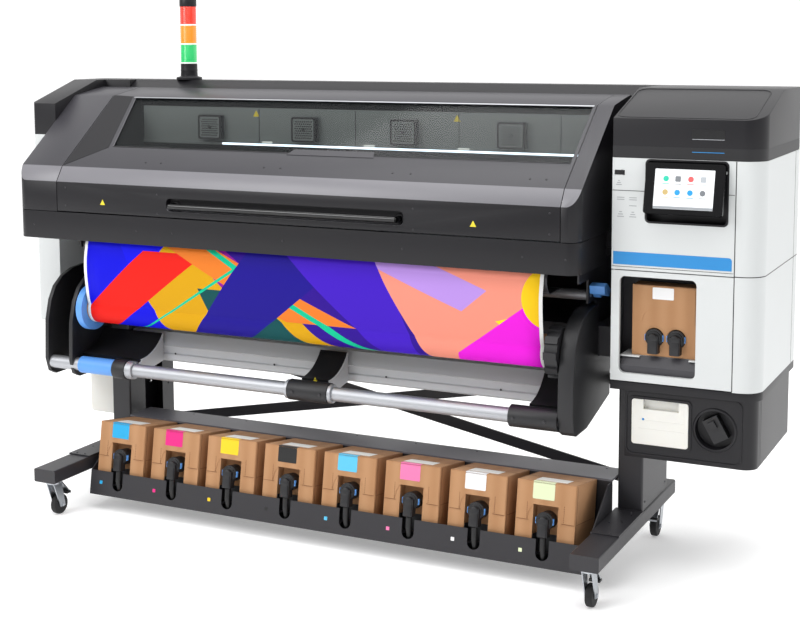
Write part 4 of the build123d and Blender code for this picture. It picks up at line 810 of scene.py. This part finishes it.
class PRINTER_OT_screws(bpy.types.Operator):
    """Pan head screws on covers and stand"""
    bl_idname = "printer.screws"
    bl_label = "Screws"

    def execute(self, context):
        heads = repeat_tree("pan heads", 14, 0.62)
        radius = context.scene.printer_sizes.screw_head * 500
        slope_out = (0, -math.sin(math.radians(SLOPE)), math.cos(math.radians(SLOPE)))
        lid = [((x, FRONT_Y, z), FRONT) for x in (-616, 296) for z in (990, 1052)]
        lid += [((x, FRONT_Y, z), FRONT) for x in (-985, 722) for z in (1000, 1060)]
        for x in (-700, -640, -250, -190, 200, 260, 640, 690):
            lid.append((tuple(on_slope(x, 34).translation), slope_out))
        scatter("lid_screws", heads, lid, radius, radius * 0.5, finish("black powder coat"), "window_lid")
        fixed = [((x, FRONT_Y, 930), FRONT) for x in (-1120, -700, -560, -150, 260, 640, 770)]
        fixed += [((x, y, 165.6 + 4.2), UP) for x in (-939.5, -907.5, 891.6, 923.6) for y in (-235, -40)]
        for side, x in ((LEFT, -959.7), (RIGHT, 947.8)):
            fixed += [((x, y, z), side) for y in (16, 232) for z in (190,
                                                                     590) if not (side == RIGHT and z > 300)]
        fixed += [((x, -10.2, 486), FRONT) for x in (-690, -300, 110, 500)]
        scatter("frame_screws", heads, fixed, radius, radius * 0.5, finish("black powder coat"))
        return {"FINISHED"}


class PRINTER_OT_lid(bpy.types.Operator):
    """The lid's grip ends, a bright strip of painted highlight along the glass's top, the glass's seal, a
    dark plate of painted shade on the left facet, and plain yellow marks
    """
    bl_idname = "printer.lid"
    bl_label = "Lid fittings"

    def execute(self, context):
        shape = bmesh.new()
        low, high = corners("lid_handle")
        for x in (low[0] + 9, high[0] - 9):
            add_turned(shape, [(0, 0), (15, 0), (15, 2), (12, 5), (9.6, 6), (9.6, 9)],
                       facing_front(x, -174.2, GRIP_Z), 28)
        from_bmesh("grip_flanges", shape, finish("black powder coat"), "window_lid")
        run = (CREST[1] - GLASS_FOOT_Z) / math.sin(math.radians(SLOPE))
        foot = (GLASS_FOOT_Z - BEVEL[1]) / math.sin(math.radians(SLOPE))
        # A bright aluminium strip along the glass's top edge: a painted highlight standing for the light
        # caught on the crest.
        shape = bmesh.new()
        add_box(shape, (-926, foot + run - 9, 0.2), (746, foot + run - 4, 1.6), 0.5, 2, on_slope(0, 0))
        from_bmesh("glass_top_highlight_strip", shape, finish("anodised aluminium"), "window_lid")
        shape = bmesh.new()
        add_box(shape, (-872, foot - 5, 0.1), (742, foot - 2, 0.9), 0.3, 2, on_slope(0, 0))
        from_bmesh("glass_foot_seal", shape, finish("black ABS"), "window_lid")
        shape = bmesh.new()
        add_outline(shape, [(-196, foot - 12), (112, foot - 12), (104, foot + 14), (-176, foot + 14)], 1.6,
                    on_slope(0, 0))
        from_bmesh("glass_foot_tab", shape, finish("charcoal ABS"), "window_lid")
        # A black plate on the left slope: painted shade of the twisted facet that turns away from the light.
        shape = bmesh.new()
        add_outline(shape, [(-1017, 5), (-887, foot - 8), (-935, foot + run - 2), (-1017, foot + run + 4)],
                    0.8, on_slope(0, 0))
        from_bmesh("lid_side_facet_shade", shape, finish("black ABS"), "window_lid")
        shape = bmesh.new()
        for x in (-833, 488):
            add_outline(shape, [(-10, -8), (10, -8), (0, 10)], 0.4, facing_front(x, FRONT_Y, 1017))
        from_bmesh("plain_yellow_marks", shape, finish("yellow vinyl mark"), "window_lid")
        return {"FINISHED"}


class PRINTER_OT_dryer(bpy.types.Operator):
    """Fan grilles, panel seams and the light strip behind the glass"""
    bl_idname = "printer.dryer"
    bl_label = "Dryer and light"

    def execute(self, context):
        face = corners("dryer_panel")[0][1] - 0.2
        holes = repeat_tree("grille holes", 6, 0.9)
        spots = []
        for x in FAN_XS:
            for row in range(8):
                for column in range(8):
                    shift = 4 if row % 2 else 0
                    at = (x - 30 + column * 8 + shift, face, 1226 + row * 7.6)
                    if math.hypot(at[0] - x, at[2] - FAN_Z) > 6 and abs(at[0] - x) < 33:
                        spots.append((at, FRONT))
        # The grille's holes are near black dots on the fan face: painted shade, not cut through.
        scatter("fan_grille_holes", holes, spots, 2.9, 0.6, finish("hole shade black"))
        shape = bmesh.new()
        for x in FAN_XS:
            place = facing_front(x, face + 1, FAN_Z)
            add_ring(shape, rounded(90, 82, 9), rounded(78, 70, 6), 2.5, place)
            add_turned(shape, [(0, 3), (5, 3), (6.5, 1.5), (6.5, 0)], place, 20)
            add_box(shape, (x - 45, face + 1.2, 1212), (x + 45, 118.8, 1294), 3, 2)
        from_bmesh("fan_frames", shape, finish("glass-filled nylon"))
        shape = bmesh.new()
        for x in (-423, -60, 304, 640):
            add_box(shape, (x - 1, 117.2, 1204), (x + 1, 119.2, 1316), 0.3, 1)
        from_bmesh("dryer_seams", shape, finish("moulded rubber"))
        shape = bmesh.new()
        add_box(shape, (-564, 108.6, 1195), (701, 110.8, 1201.5), 0.8, 2)
        from_bmesh("light_strip", shape, finish("lamp strip"))
        shape = bmesh.new()
        for x in (-386, -5, 325):
            add_box(shape, (x - 19, 103, 1203), (x + 19, 111, 1210), 2.0, 2)
        from_bmesh("light_clips", shape, finish("white acrylic ring"))
        shape = bmesh.new()
        for x in (-434, 298):
            add_outline(shape, [(-12, -9), (12, -9), (0, 12)], 0.4, facing_front(x, 118.8, 1300))
        from_bmesh("header_marks", shape, finish("yellow vinyl mark"))
        return {"FINISHED"}


class PRINTER_OT_tower(bpy.types.Operator):
    """The stack light: flange, neck, three ribbed lenses, rings and cap"""
    bl_idname = "printer.tower"
    bl_label = "Stack light"

    def execute(self, context):
        low, high = corners("signal_tower")
        x, y, z = (low[0] + high[0]) / 2, (low[1] + high[1]) / 2, low[2]
        place = Matrix.Translation((x, y, z))
        height = high[2] - z
        shape = bmesh.new()
        add_turned(shape, [(0, 0), (45, 0), (46, 1.5), (46, 8), (44, 10), (33, 12), (31, 14), (30, 30),
                           (30.6, 32),
                           (30.6, 36), (30, 38), (30, 56), (28, 58), (0, 58)], place, 48)
        add_turned(shape, [(0, height - 30), (30, height - 30), (30.6, height - 26), (30.6, height - 8),
                           (28, height - 2), (22, height), (0, height)], place, 48)
        base = from_bmesh("stack_light_base", shape, finish("black ABS"))
        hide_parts("signal_tower")
        step = (height - 88) / 3
        for i, name in enumerate(("green acrylic lens", "amber acrylic lens", "red acrylic lens")):
            z0 = 58 + i * step + 5
            line = [(0, z0), (28, z0)]
            ribs = 9
            for k in range(ribs):
                za = z0 + (step - 5) * k / ribs
                zb = z0 + (step - 5) * (k + 1) / ribs
                line += [(28.6, za + 0.4), (29.8, (za + zb) / 2), (28.6, zb - 0.4)]
            line += [(28, z0 + step - 5), (0, z0 + step - 5)]
            shape = bmesh.new()
            add_turned(shape, line, place, 48)
            from_bmesh(f"stack_light_{name.split()[0]}", shape, finish(name))
        shape = bmesh.new()
        for i in range(3):
            z0 = 58 + i * step
            add_turned(shape, [(0, z0), (30.4, z0), (30.8, z0 + 1), (30.8, z0 + 4), (30.4, z0 + 5),
                               (0, z0 + 5)], place, 48)
        from_bmesh("stack_light_rings", shape, finish("white acrylic ring"))
        return {"FINISHED"}


class PRINTER_OT_casters(bpy.types.Operator):
    """Wheel hubs, tread edges, fork bolts and brake pads"""
    bl_idname = "printer.casters"
    bl_label = "Casters"

    def execute(self, context):
        for side in ("left", "right"):
            for end, way in (("front", 1), ("back", -1)):
                key = f"{side}_{end}"
                low, high = corners(f"caster_wheel_{key}")
                x, y, z = ((low[i] + high[i]) / 2 for i in range(3))
                half = (high[0] - low[0]) / 2
                shape = bmesh.new()
                for turn in (1, -1):
                    place = along_x(x, y, z) @ Matrix.Scale(turn, 4, (0, 0, 1))
                    add_turned(shape, [(6, half - 3), (8, half + 0.6), (12, half + 0.8), (14, half - 1.2),
                                       (20, half - 2.4), (22, half - 0.6), (23.5, half - 0.6),
                                       (24, half - 4)], place, 32)
                from_bmesh(f"wheel_hub_{key}", shape, finish("glass-filled nylon"), f"caster_wheel_{key}")
                shape = bmesh.new()
                stem_y = y - way * 24
                add_turned(shape, [(7.2, 118.4), (19, 118.4), (20, 119.4), (20, 120.6), (19, 121.3),
                                   (7.2, 121.3)],
                           Matrix.Translation((x, stem_y, 0)), 32)
                for turn in (1, -1):
                    place = along_x(x, y, z) @ Matrix.Scale(turn, 4, (0, 0, 1))
                    add_turned(shape, [(0, half + 8.5), (3, half + 8.5), (7, half + 7.5), (7, half + 5.2),
                                       (4.2, half + 5.2)],
                               place, 6)
                from_bmesh(f"fork_hardware_{key}", shape, finish("zinc plated steel"), f"caster_fork_{key}")
                shape = bmesh.new()
                tip = stem_y + way * 66
                ends = sorted((tip, tip - way * 20))
                add_box(shape, (x - 17, ends[0], 60), (x + 17, ends[1], 69), 3, 3)
                from_bmesh(f"brake_pad_{key}", shape, finish("glass-filled nylon"), f"caster_fork_{key}")
        return {"FINISHED"}


class PRINTER_OT_cabinet(bpy.types.Operator):
    """The cabinet's liners, blue strip, plates, plain grey marks, seams and a near-black band of painted
    shade under the cap
    """
    bl_idname = "printer.cabinet"
    bl_label = "Cabinet"

    def execute(self, context):
        front = corners("cabinet_front")[0][1]
        shape = bmesh.new()
        line = [(0, 0), (340, 0)] + [(340 - 9 + 9 * math.cos(math.radians(a)),
                                      28 + 9 * math.sin(math.radians(a)))
                                     for a in (0, 22, 45, 67, 90)] + [(0, 37)]
        add_outline(shape, line, 0.5, facing_front(868, front, 907.5))
        from_bmesh("blue_strip", shape, finish("blue vinyl strip"))
        # A near-black band round the cap's lower edge: painted shade standing for the recessed band under the
        # cap.
        shape = bmesh.new()
        add_ribbon(shape, cabinet_plan(863.4, 424), 1214, 1247, 0.3)
        from_bmesh("cap_band_shade", shape, finish("glass-filled nylon"))
        shape = bmesh.new()
        add_ribbon(shape, cabinet_plan(1216.5, 425.5), 891.5, 894, 0.25)
        add_ribbon(shape, [(1291, 372), (1291, 374.5)], 566.5, 1212.5, 0.25)
        add_box(shape, (1214.2, front - 0.1, 568), (1216.8, front + 2, 1212), 0)
        from_bmesh("cabinet_seams", shape, finish("moulded rubber"))
        shape = bmesh.new()
        x, z, width, height = POCKET
        add_ring(shape, rounded(width + 4, height + 4, 14), rounded(width - 6, height - 6, 11), 1.2,
                 facing_front(x, front, z))
        from_bmesh("screen_pocket_rim", shape, finish("black ABS"))
        shape = bmesh.new()
        add_box(shape, (864, front - 0.5, 1119), (962, front + 0.2, 1120.6), 0)
        add_box(shape, (1193, front - 0.5, 1119), (1212, front + 0.2, 1120.6), 0)
        add_box(shape, (864, front - 0.5, 901), (1213, front + 0.2, 902.2), 0)
        add_box(shape, (889, front - 0.4, 1176), (892, front + 0.2, 1179), 0)
        from_bmesh("front_seams", shape, finish("moulded rubber"))
        shape = bmesh.new()
        for x, z, size in ((888, 1052, 20), (924, 1052, 20), (882, 1142, 17)):
            for i in range(3):
                add_outline(shape, rounded(size - i * 6, 2.2, 0.5), 0.3,
                            facing_front(x, front, z - size / 3 + i * size / 3))
        for x, z in ((888, 1100), (924, 1100), (888, 1094), (924, 1094), (924, 1077)):
            add_outline(shape, rounded(22, 2.0, 0.5), 0.3, facing_front(x, front, z))
        from_bmesh("front_marks", shape, surface("grey label ink", "9b9ea1", 0.6, grain_mm=1, grain=0.05))
        shape = bmesh.new()
        slope = math.atan2(COVER_TOP_Z - CAP_EDGE_Z, CAP_RUN)
        on_cap = (Matrix.Translation((1064, front + 130 * math.cos(slope),
                                      CAP_EDGE_Z + 130 * math.sin(slope)))
                  @ Matrix.Rotation(slope, 4, "X"))
        add_ring(shape, rounded(394, 246, 30), rounded(389, 241, 28), 1.0, on_cap)
        from_bmesh("cap_rim", shape, finish("black ABS"))
        shape = bmesh.new()
        add_outline(shape, rounded(92, 27, 3), 0.5, facing_front(1136, front, 1284))
        from_bmesh("cap_plate", shape, finish("display glass"))
        shape = bmesh.new()
        add_box(shape, (1091, front - 0.8, 1270), (1181, front, 1271.4), 0)
        from_bmesh("cap_plate_line", shape, finish("anodised aluminium"))
        shape = bmesh.new()
        add_box(shape, (1091, front - 1.1, 1234), (1181, front, 1235.8), 0)
        from_bmesh("cap_blue_line", shape, finish("blue vinyl strip"))
        shape = bmesh.new()
        for lo, hi in (((963.2, -68.6, 1034.2), (1191.8, -27.6, 1034.9)),
                       ((963.2, -68.6, 1207.2), (1191.8, -27.6, 1207.8)),
                       ((963.2, -68.6, 1034.2), (963.8, -27.6, 1207.8)), ((1191.2, -68.6, 1034.2),
                                                                          (1191.8, -27.6, 1207.8)),
                       ((963.2, -28.0, 1034.2), (1191.8, -27.3, 1207.8))):
            add_box(shape, lo, hi, 0)
        from_bmesh("screen_pocket_liner", shape, finish("black ABS"))
        shape = bmesh.new()
        for lo, hi in (((867.2, -50.5, 612.5), (867.9, 37.6, 882.6)),
                       ((1153.2, -50.5, 641), (1153.8, 37.6, 882.6)),
                       ((867.2, -50.5, 882.2), (1153.8, 37.6, 882.8)),
                       ((867.2, 35.2, 612.5), (1153.8, 35.8, 882.8))):
            add_box(shape, lo, hi, 0)
        add_outline(shape, [(-56, 590), (-56, 612), (-34, 640.0), (-34, 590)], 222,
                    Matrix.Translation((888, 0, 0)) @ Matrix(FACING_SIDE))
        from_bmesh("supply_bay_liner", shape, finish("charcoal ABS"))
        return {"FINISHED"}


class PRINTER_OT_back(bpy.types.Operator):
    """The rear panel's seams, cooling slots and edge screws"""
    bl_idname = "printer.back"
    bl_label = "Rear panel"

    def execute(self, context):
        high = corners("chassis")[1]
        face = high[1]
        left, right = WINDOW_SIDE, corners("cabinet_body")[0][0]
        shape = bmesh.new()
        for x in REAR_SEAMS:
            add_box(shape, (x - 1, face - 0.4, 716), (x + 1, face + 0.2, high[2] - 8), 0)
        add_box(shape, (left + 6, face - 0.4, 930), (right - 6, face + 0.2, 932), 0)
        from_bmesh("rear_seams", shape, finish("moulded rubber"))
        # The cooling slots are near black shapes on the panel: painted shade of the openings.
        shape = bmesh.new()
        for middle in REAR_VENTS:
            for column in range(4):
                for row in range(10):
                    at = Matrix.Translation((middle + (column - 1.5) * 62, face - 0.2, 1010 + row * 13))
                    add_outline(shape, rounded(52, 5, 2.4, 3), 0.5, at @ Matrix(FACING_BACK))
        from_bmesh("rear_vents", shape, finish("hole shade black"))
        heads = repeat_tree("rear heads", 14, 0.62)
        radius = context.scene.printer_sizes.screw_head * 500
        levels = (740, 905, 956, 1100, high[2] - 24)
        spots = [((x + beside, face, z), BACKWARDS) for x in REAR_SEAMS for beside in (-14, 14)
                 for z in levels]
        spots += [((x, face, z), BACKWARDS) for x in (left + 20, right - 20) for z in levels]
        scatter("rear_screws", heads, spots, radius, radius * 0.2, finish("black powder coat"))
        return {"FINISHED"}


class PRINTER_OT_housing(bpy.types.Operator):
    """The service housing's raised rims, edge seams and the container's fill marks"""
    bl_idname = "printer.housing"
    bl_label = "Service housing"

    def execute(self, context):
        high = corners("lower_housing")[1]
        tank, tank_high = corners("waste_container")
        front = tank[1] + 2
        middle = ((tank[0] + tank_high[0]) / 2, (tank[2] + tank_high[2]) / 2)
        shape = bmesh.new()
        x, z = SERVICE_PORT
        add_turned(shape, [(56, 0), (56, 2.6), (57.5, 3.4), (60, 3.4), (63, 1.6), (64, 0)],
                   facing_front(x, front, z), 56)
        width, height = tank_high[0] - tank[0], tank_high[2] - tank[2]
        place = facing_front(middle[0], front, middle[1])
        add_ring(shape, rounded(width + 18, height + 16, 14, 6), rounded(width + 2, height + 2, 9, 6), 3.0,
                 place)
        place = facing_front((903 + 1246) / 2, front, 444)
        add_ring(shape, rounded(338, 186, 22, 6), rounded(330, 178, 18, 6), 2.4, place)
        from_bmesh("housing_rims", shape, finish("black ABS"))
        shape = bmesh.new()
        for y in (0, 16):
            add_box(shape, (high[0] - 10.4, y, 346), (high[0] - 9.7, y + 1.8, 541), 0)
        from_bmesh("housing_seams", shape, finish("moulded rubber"))
        shape = bmesh.new()
        add_box(shape, (tank[0] + 20, tank[1] - 0.6, middle[1] + 4),
                (tank_high[0] - 12, tank[1] + 0.2, middle[1] + 6), 0.2, 1)
        add_box(shape, (tank[0] + 20, tank[1] - 0.6, middle[1] - 20),
                (tank_high[0] - 12, tank[1] + 0.2, middle[1] - 19), 0.2, 1)
        from_bmesh("container_ribs", shape, finish("milky polyethylene"), "waste_container")
        shape = bmesh.new()
        add_turned(shape, [(0, 1.0), (3, 1.0), (3.6, 0)],
                   facing_front(tank[0] + 34, tank[1], middle[1] + 8), 16)
        from_bmesh("container_dot", shape, finish("blue vinyl strip"), "waste_container")
        return {"FINISHED"}


class PRINTER_OT_screen(bpy.types.Operator):
    """The lit display with plain icons"""
    bl_idname = "printer.screen"
    bl_label = "Screen"

    def execute(self, context):
        place = (Matrix.Translation(SCREEN_TOP) @ Matrix.Rotation(math.radians(-SCREEN_LEAN), 4, "X")
                 @ Matrix(FACING_FRONT))
        shape = bmesh.new()
        add_outline(shape, rounded(168, 112, 1.5), 0.25, place @ Matrix.Translation((0, -73, 0)))
        from_bmesh("display_panel", shape, finish("display panel"), "touch_screen")
        icons = (("28b79a", -52, -44), ("74787c", -18, -44), ("d05a5a", 18, -44), ("a6abb0", 53, -44),
                 ("b9a26a", -52, -82), ("1e8fd0", -18, -82), ("1e8fd0", 18, -82), ("6d7176", 53, -82))
        for i, (colour, x, y) in enumerate(icons):
            shape = bmesh.new()
            spot = place @ Matrix.Translation((x, y, 0.25))
            add_outline(shape, rounded(16, 16, (7.9, 3.4)[i % 2 and i < 4]), 0.15, spot)
            add_outline(shape, rounded(19, 1.8, 0.8), 0.15, spot @ Matrix.Translation((0, -14.5, 0)))
            from_bmesh(f"display_icon_{i + 1}", shape, glow(f"display icon {i + 1}", colour, 0.3),
                       "touch_screen")
        shape = bmesh.new()
        add_outline(shape, rounded(168, 7, 1), 0.2, place @ Matrix.Translation((0, -125, 0.25)))
        from_bmesh("display_bar", shape, glow("display bar", "8f9397", 0.3), "touch_screen")
        return {"FINISHED"}


class PRINTER_OT_cartons(bpy.types.Operator):
    """Carton flaps, seams and coloured paper labels"""
    bl_idname = "printer.cartons"
    bl_label = "Cartons"

    def execute(self, context):
        width, depth, height = CARTON_SIZE
        flap = [(-88, -2), (88, -2), (88, -112), (56, -112), (50, -84), (38, -66), (-38, -66), (-50, -84),
                (-56, -112),
                (-88, -112)]
        boards, seams = bmesh.new(), bmesh.new()
        for i, x in enumerate(CARTON_XS):
            tilt = leaning(x) @ Matrix(FACING_FRONT)
            add_outline(boards, flap, 1.4, tilt)
            top = leaning(x)
            add_box(seams, (-width / 2 + 2, depth / 2 - 0.6, -0.2), (width / 2 - 2, depth / 2 + 0.6, 0.25),
                    0, 1, top)
            for edge in (-width / 2 + 1.5, width / 2 - 2.1):
                add_box(seams, (edge, 2, -0.2), (edge + 0.6, depth - 2, 0.25), 0, 1, top)
            shape = bmesh.new()
            add_outline(shape, rounded(66, 46, 3), 0.5, tilt @ Matrix.Translation((-8, -27, 1.4)))
            add_box(shape, (-41, -1.4, -4), (25, -0.9, 0.5), 0, 1, leaning(x))
            add_box(shape, (-41, -1.4, 0.05), (25, 16, 0.5), 0, 1, leaning(x))
            from_bmesh(f"carton_label_{i + 1}", shape, finish(f"paper label {i + 1}"))
        place = facing_front((SUPPLY_PORTS[0] + SUPPLY_PORTS[1]) / 2 - 4, SUPPLY_FACE_Y, 0)
        add_outline(boards, [(-89, 844), (89, 844), (89, 740), (66, 740), (58, 764), (34, 782), (-34, 782),
                             (-58, 764),
                             (-66, 740), (-89, 740)], 1.4, place)
        for x in CARTON_XS:
            top = leaning(x)
            for near, far in ((-88, -50), (50, 88)):
                add_box(seams, (near, -1.7, -112.5), (far, -1.2, -111.3), 0, 1, top)
            add_box(seams, (width / 2 - 0.3, 10, -height + 4), (width / 2 + 0.3, 11.4, -3), 0, 1, top)
            add_box(seams, (width / 2 - 0.3, 12, -112.5), (width / 2 + 0.3, depth - 4, -111.5), 0, 1, top)
            for i in range(9):
                for edge in (-56.8, 55.2):
                    add_box(seams, (edge, -1.9, -108 + i * 5.4), (edge + 1.6, -1.2, -105.4 + i * 5.4), 0, 1,
                            top)
        from_bmesh("carton_flaps", boards, finish("kraft board"))
        from_bmesh("carton_seams", seams, surface("kraft board edge", "6d4427", 0.85, grain_mm=2,
                                                  grain=0.05))
        shape = bmesh.new()
        for x in CARTON_XS:
            add_box(shape, (-37, 31.5, -height + 1), (37, 33.6, -152), 0, 1, leaning(x))
            add_box(shape, (-36.9, 1, -height + 1), (-35.5, 33, -152), 0, 1, leaning(x))
            add_box(shape, (35.5, 1, -height + 1), (36.9, 33, -152), 0, 1, leaning(x))
        from_bmesh("carton_niche_sleeves", shape, finish("glass-filled nylon"))
        shape = bmesh.new()
        for x in CARTON_XS:
            add_outline(shape, rounded(96, 58, 2), 0.4, leaning(x) @ Matrix.Translation((4, 52, 0.2)))
        from_bmesh("carton_top_labels", shape, finish("coated roll paper"))
        lean = math.tan(math.radians(CARTON_LEAN))
        for i, x in enumerate(CARTON_XS):
            shape = bmesh.new()
            mark = (Matrix.Translation((x - 66, TRAY_FOOT[0] + 42 * lean, TRAY_FOOT[1] + 42))
                    @ Matrix.Rotation(math.radians(-CARTON_LEAN), 4, "X") @ facing_front(0, 0, 0))
            add_outline(shape, rounded(11, 11, 1.5), 0.5, mark)
            from_bmesh(f"tray_mark_{i + 1}", shape, finish(f"paper label {i + 1}"))
        shape = bmesh.new()
        add_outline(shape, rounded(62, 34, 3), 0.5, place @ Matrix.Translation((-4, 824, 1.4)))
        from_bmesh("supply_label", shape, finish("paper label 7"))
        return {"FINISHED"}


class PRINTER_OT_connectors(bpy.types.Operator):
    """Connector caps, grip rings and blue release tabs"""
    bl_idname = "printer.connectors"
    bl_label = "Connectors"

    def execute(self, context):
        black, blue = bmesh.new(), bmesh.new()
        places = [leaning(x) @ Matrix.Translation((0, 0, -110)) for x in CARTON_XS]
        places += [Matrix.Translation((x, SUPPLY_FACE_Y, SUPPLY_PORT_Z)) for x in SUPPLY_PORTS]
        for place in places:
            out = place @ Matrix(FACING_FRONT)
            add_turned(black, [(26.2, -6), (26.4, 2), (25.4, 5), (21, 7.6), (20, 9.6), (16, 10.6),
                               (0, 11.0)], out, 32)
            add_turned(black, [(0, 22.6), (11, 22.6), (13, 21.6), (13.5, 19), (13.5, 8), (0, 8)], out, 28)
            add_box(black, (-12.5, -23.5, -44.5), (12.5, -20, -6), 3, 2, place)
            for side in (-1, 1):
                xs = sorted((side * 24.0, side * 27.6))
                add_box(blue, (xs[0], -6.5, -9), (xs[1], 3, 9), 1.2, 2, place)
        from_bmesh("connector_caps", black, finish("glass-filled nylon"))
        from_bmesh("connector_tabs", blue, finish("blue nylon"))
        return {"FINISHED"}


class PRINTER_OT_takeup(bpy.types.Operator):
    """Take-up fittings: hub ribs, ring bolts, end plates, bar collars and a plain yellow mark"""
    bl_idname = "printer.takeup"
    bl_label = "Take-up fittings"

    def execute(self, context):
        shape = bmesh.new()
        hub_face = corners("takeup_hub_left")[0][0] - 2.0
        for i in range(8):
            spoke = along_x(hub_face, *TAKEUP) @ Matrix.Rotation(math.radians(45 * i), 4, "Z")
            add_box(shape, (24, -2.5, 0), (70, 2.5, 3), 1, 2, spoke)
        from_bmesh("hub_ribs", shape, finish("blue nylon"), "takeup_spindle")
        shape = bmesh.new()
        for x in (-126, -28, 612, 708):
            add_turned(shape, [(0, 3.5), (3, 3.5), (5, 2.6), (5, 0)], facing_front(x, -195.6, 455), 6)
        from_bmesh("ring_bolts", shape, finish("black powder coat"))
        shape = bmesh.new()
        curve = [(SCOOP[0] + SCOOP[2] * math.cos(math.radians(-35 - 7 * i)),
                  SCOOP[1] + SCOOP[2] * math.sin(math.radians(-35 - 7 * i))) for i in range(9)]
        outline = [(min(y, -10), z) for y, z in curve] + [(-136, 481), (-150, 477), (-150, 440),
                                                          (-134, 437), (-10, 460)]
        for x in (-741.8, -27.8):
            add_outline(shape, outline, 3.0, Matrix.Translation((x, 0, 0)) @ Matrix(FACING_SIDE))
        from_bmesh("bracket_end_plates", shape, finish("grey stoved paint"))
        shape = bmesh.new()
        for x, length in ((-771.6, 26), (-6.6, 12), (-160, 12)):
            add_turned(shape, [(22.2, 0), (29, 0), (30, 1), (30, length - 2), (28, length), (22.2, length)],
                       along_x(x, *FRONT_BAR), 40)
        from_bmesh("bar_collars", shape, finish("anodised aluminium"))
        shape = bmesh.new()
        add_outline(shape, [(-9, 0), (9, 0), (0, 16)], 0.4, facing_front(-77, -134.4, 477.6))
        from_bmesh("bracket_mark", shape, finish("yellow vinyl mark"))
        return {"FINISHED"}


class PRINTER_sizes(bpy.types.PropertyGroup):
    cover_edge: bpy.props.FloatProperty(name="Cover edge radius",
                                        description="Rounding of the moulded covers' edges",
                                        default=0.003, min=0.0005, max=0.01, unit="LENGTH")
    screw_head: bpy.props.FloatProperty(name="Screw head", description="Diameter of the pan head screws",
                                        default=0.007, min=0.003, max=0.015, unit="LENGTH")


class PRINTER_colours(bpy.types.PropertyGroup):
    charcoal_hex: bpy.props.StringProperty(name="Charcoal", description="sRGB hex of the lid's plastic",
                                           default="39383d")
    black_hex: bpy.props.StringProperty(name="Black", description="sRGB hex of the end covers",
                                        default="17161a")
    white_hex: bpy.props.StringProperty(name="White", description="sRGB hex of the white panels",
                                        default="d2d5d5")


class PRINTER_stage(bpy.types.PropertyGroup):
    floor_hex: bpy.props.StringProperty(name="Floor", description="sRGB hex of the studio floor",
                                        default="f4f4f4")
    sky: bpy.props.FloatProperty(name="Surround", description="Strength of the white surround", default=1.2,
                                 min=0.0)
    key: bpy.props.FloatProperty(name="Key light", description="Power of the key light", default=190.0,
                                 min=0.0,
                                 subtype="POWER")
    top: bpy.props.FloatProperty(name="Top light", description="Power of the top light", default=150.0,
                                 min=0.0,
                                 subtype="POWER")
    fill: bpy.props.FloatProperty(name="Fill light", description="Power of the fill light", default=6.0,
                                  min=0.0,
                                  subtype="POWER")


OPERATORS = (PRINTER_OT_stage, PRINTER_OT_finishes, PRINTER_OT_covers, PRINTER_OT_sheet, PRINTER_OT_lid,
             PRINTER_OT_dryer, PRINTER_OT_tower, PRINTER_OT_casters, PRINTER_OT_cabinet, PRINTER_OT_back,
             PRINTER_OT_housing, PRINTER_OT_screen, PRINTER_OT_cartons, PRINTER_OT_connectors,
             PRINTER_OT_takeup, PRINTER_OT_screws)


class PRINTER_PT_panel(bpy.types.Panel):
    """Lists the printer's making steps and settings"""
    bl_idname = "PRINTER_PT_panel"
    bl_label = "Printer"
    bl_space_type = "VIEW_3D"
    bl_region_type = "UI"
    bl_category = "Printer"

    def draw(self, context):
        for group in (context.scene.printer_sizes, context.scene.printer_colours,
                      context.scene.printer_stage):
            for key in type(group).__annotations__:
                self.layout.prop(group, key)
        for operator in OPERATORS:
            self.layout.operator(operator.bl_idname)


GROUPS = {"printer_sizes": PRINTER_sizes, "printer_colours": PRINTER_colours, "printer_stage": PRINTER_stage}


def register():
    for name, group in GROUPS.items():
        bpy.utils.register_class(group)
        setattr(bpy.types.Scene, name, bpy.props.PointerProperty(type=group))
    for operator in OPERATORS:
        bpy.utils.register_class(operator)
    bpy.utils.register_class(PRINTER_PT_panel)


def unregister():
    bpy.utils.unregister_class(PRINTER_PT_panel)
    for operator in reversed(OPERATORS):
        bpy.utils.unregister_class(operator)
    for name, group in GROUPS.items():
        delattr(bpy.types.Scene, name)
        bpy.utils.unregister_class(group)


def main():
    register()
    for operator in OPERATORS:
        group, name = operator.bl_idname.split(".")
        getattr(getattr(bpy.ops, group), name)()


if __name__ == "__main__":
    main()
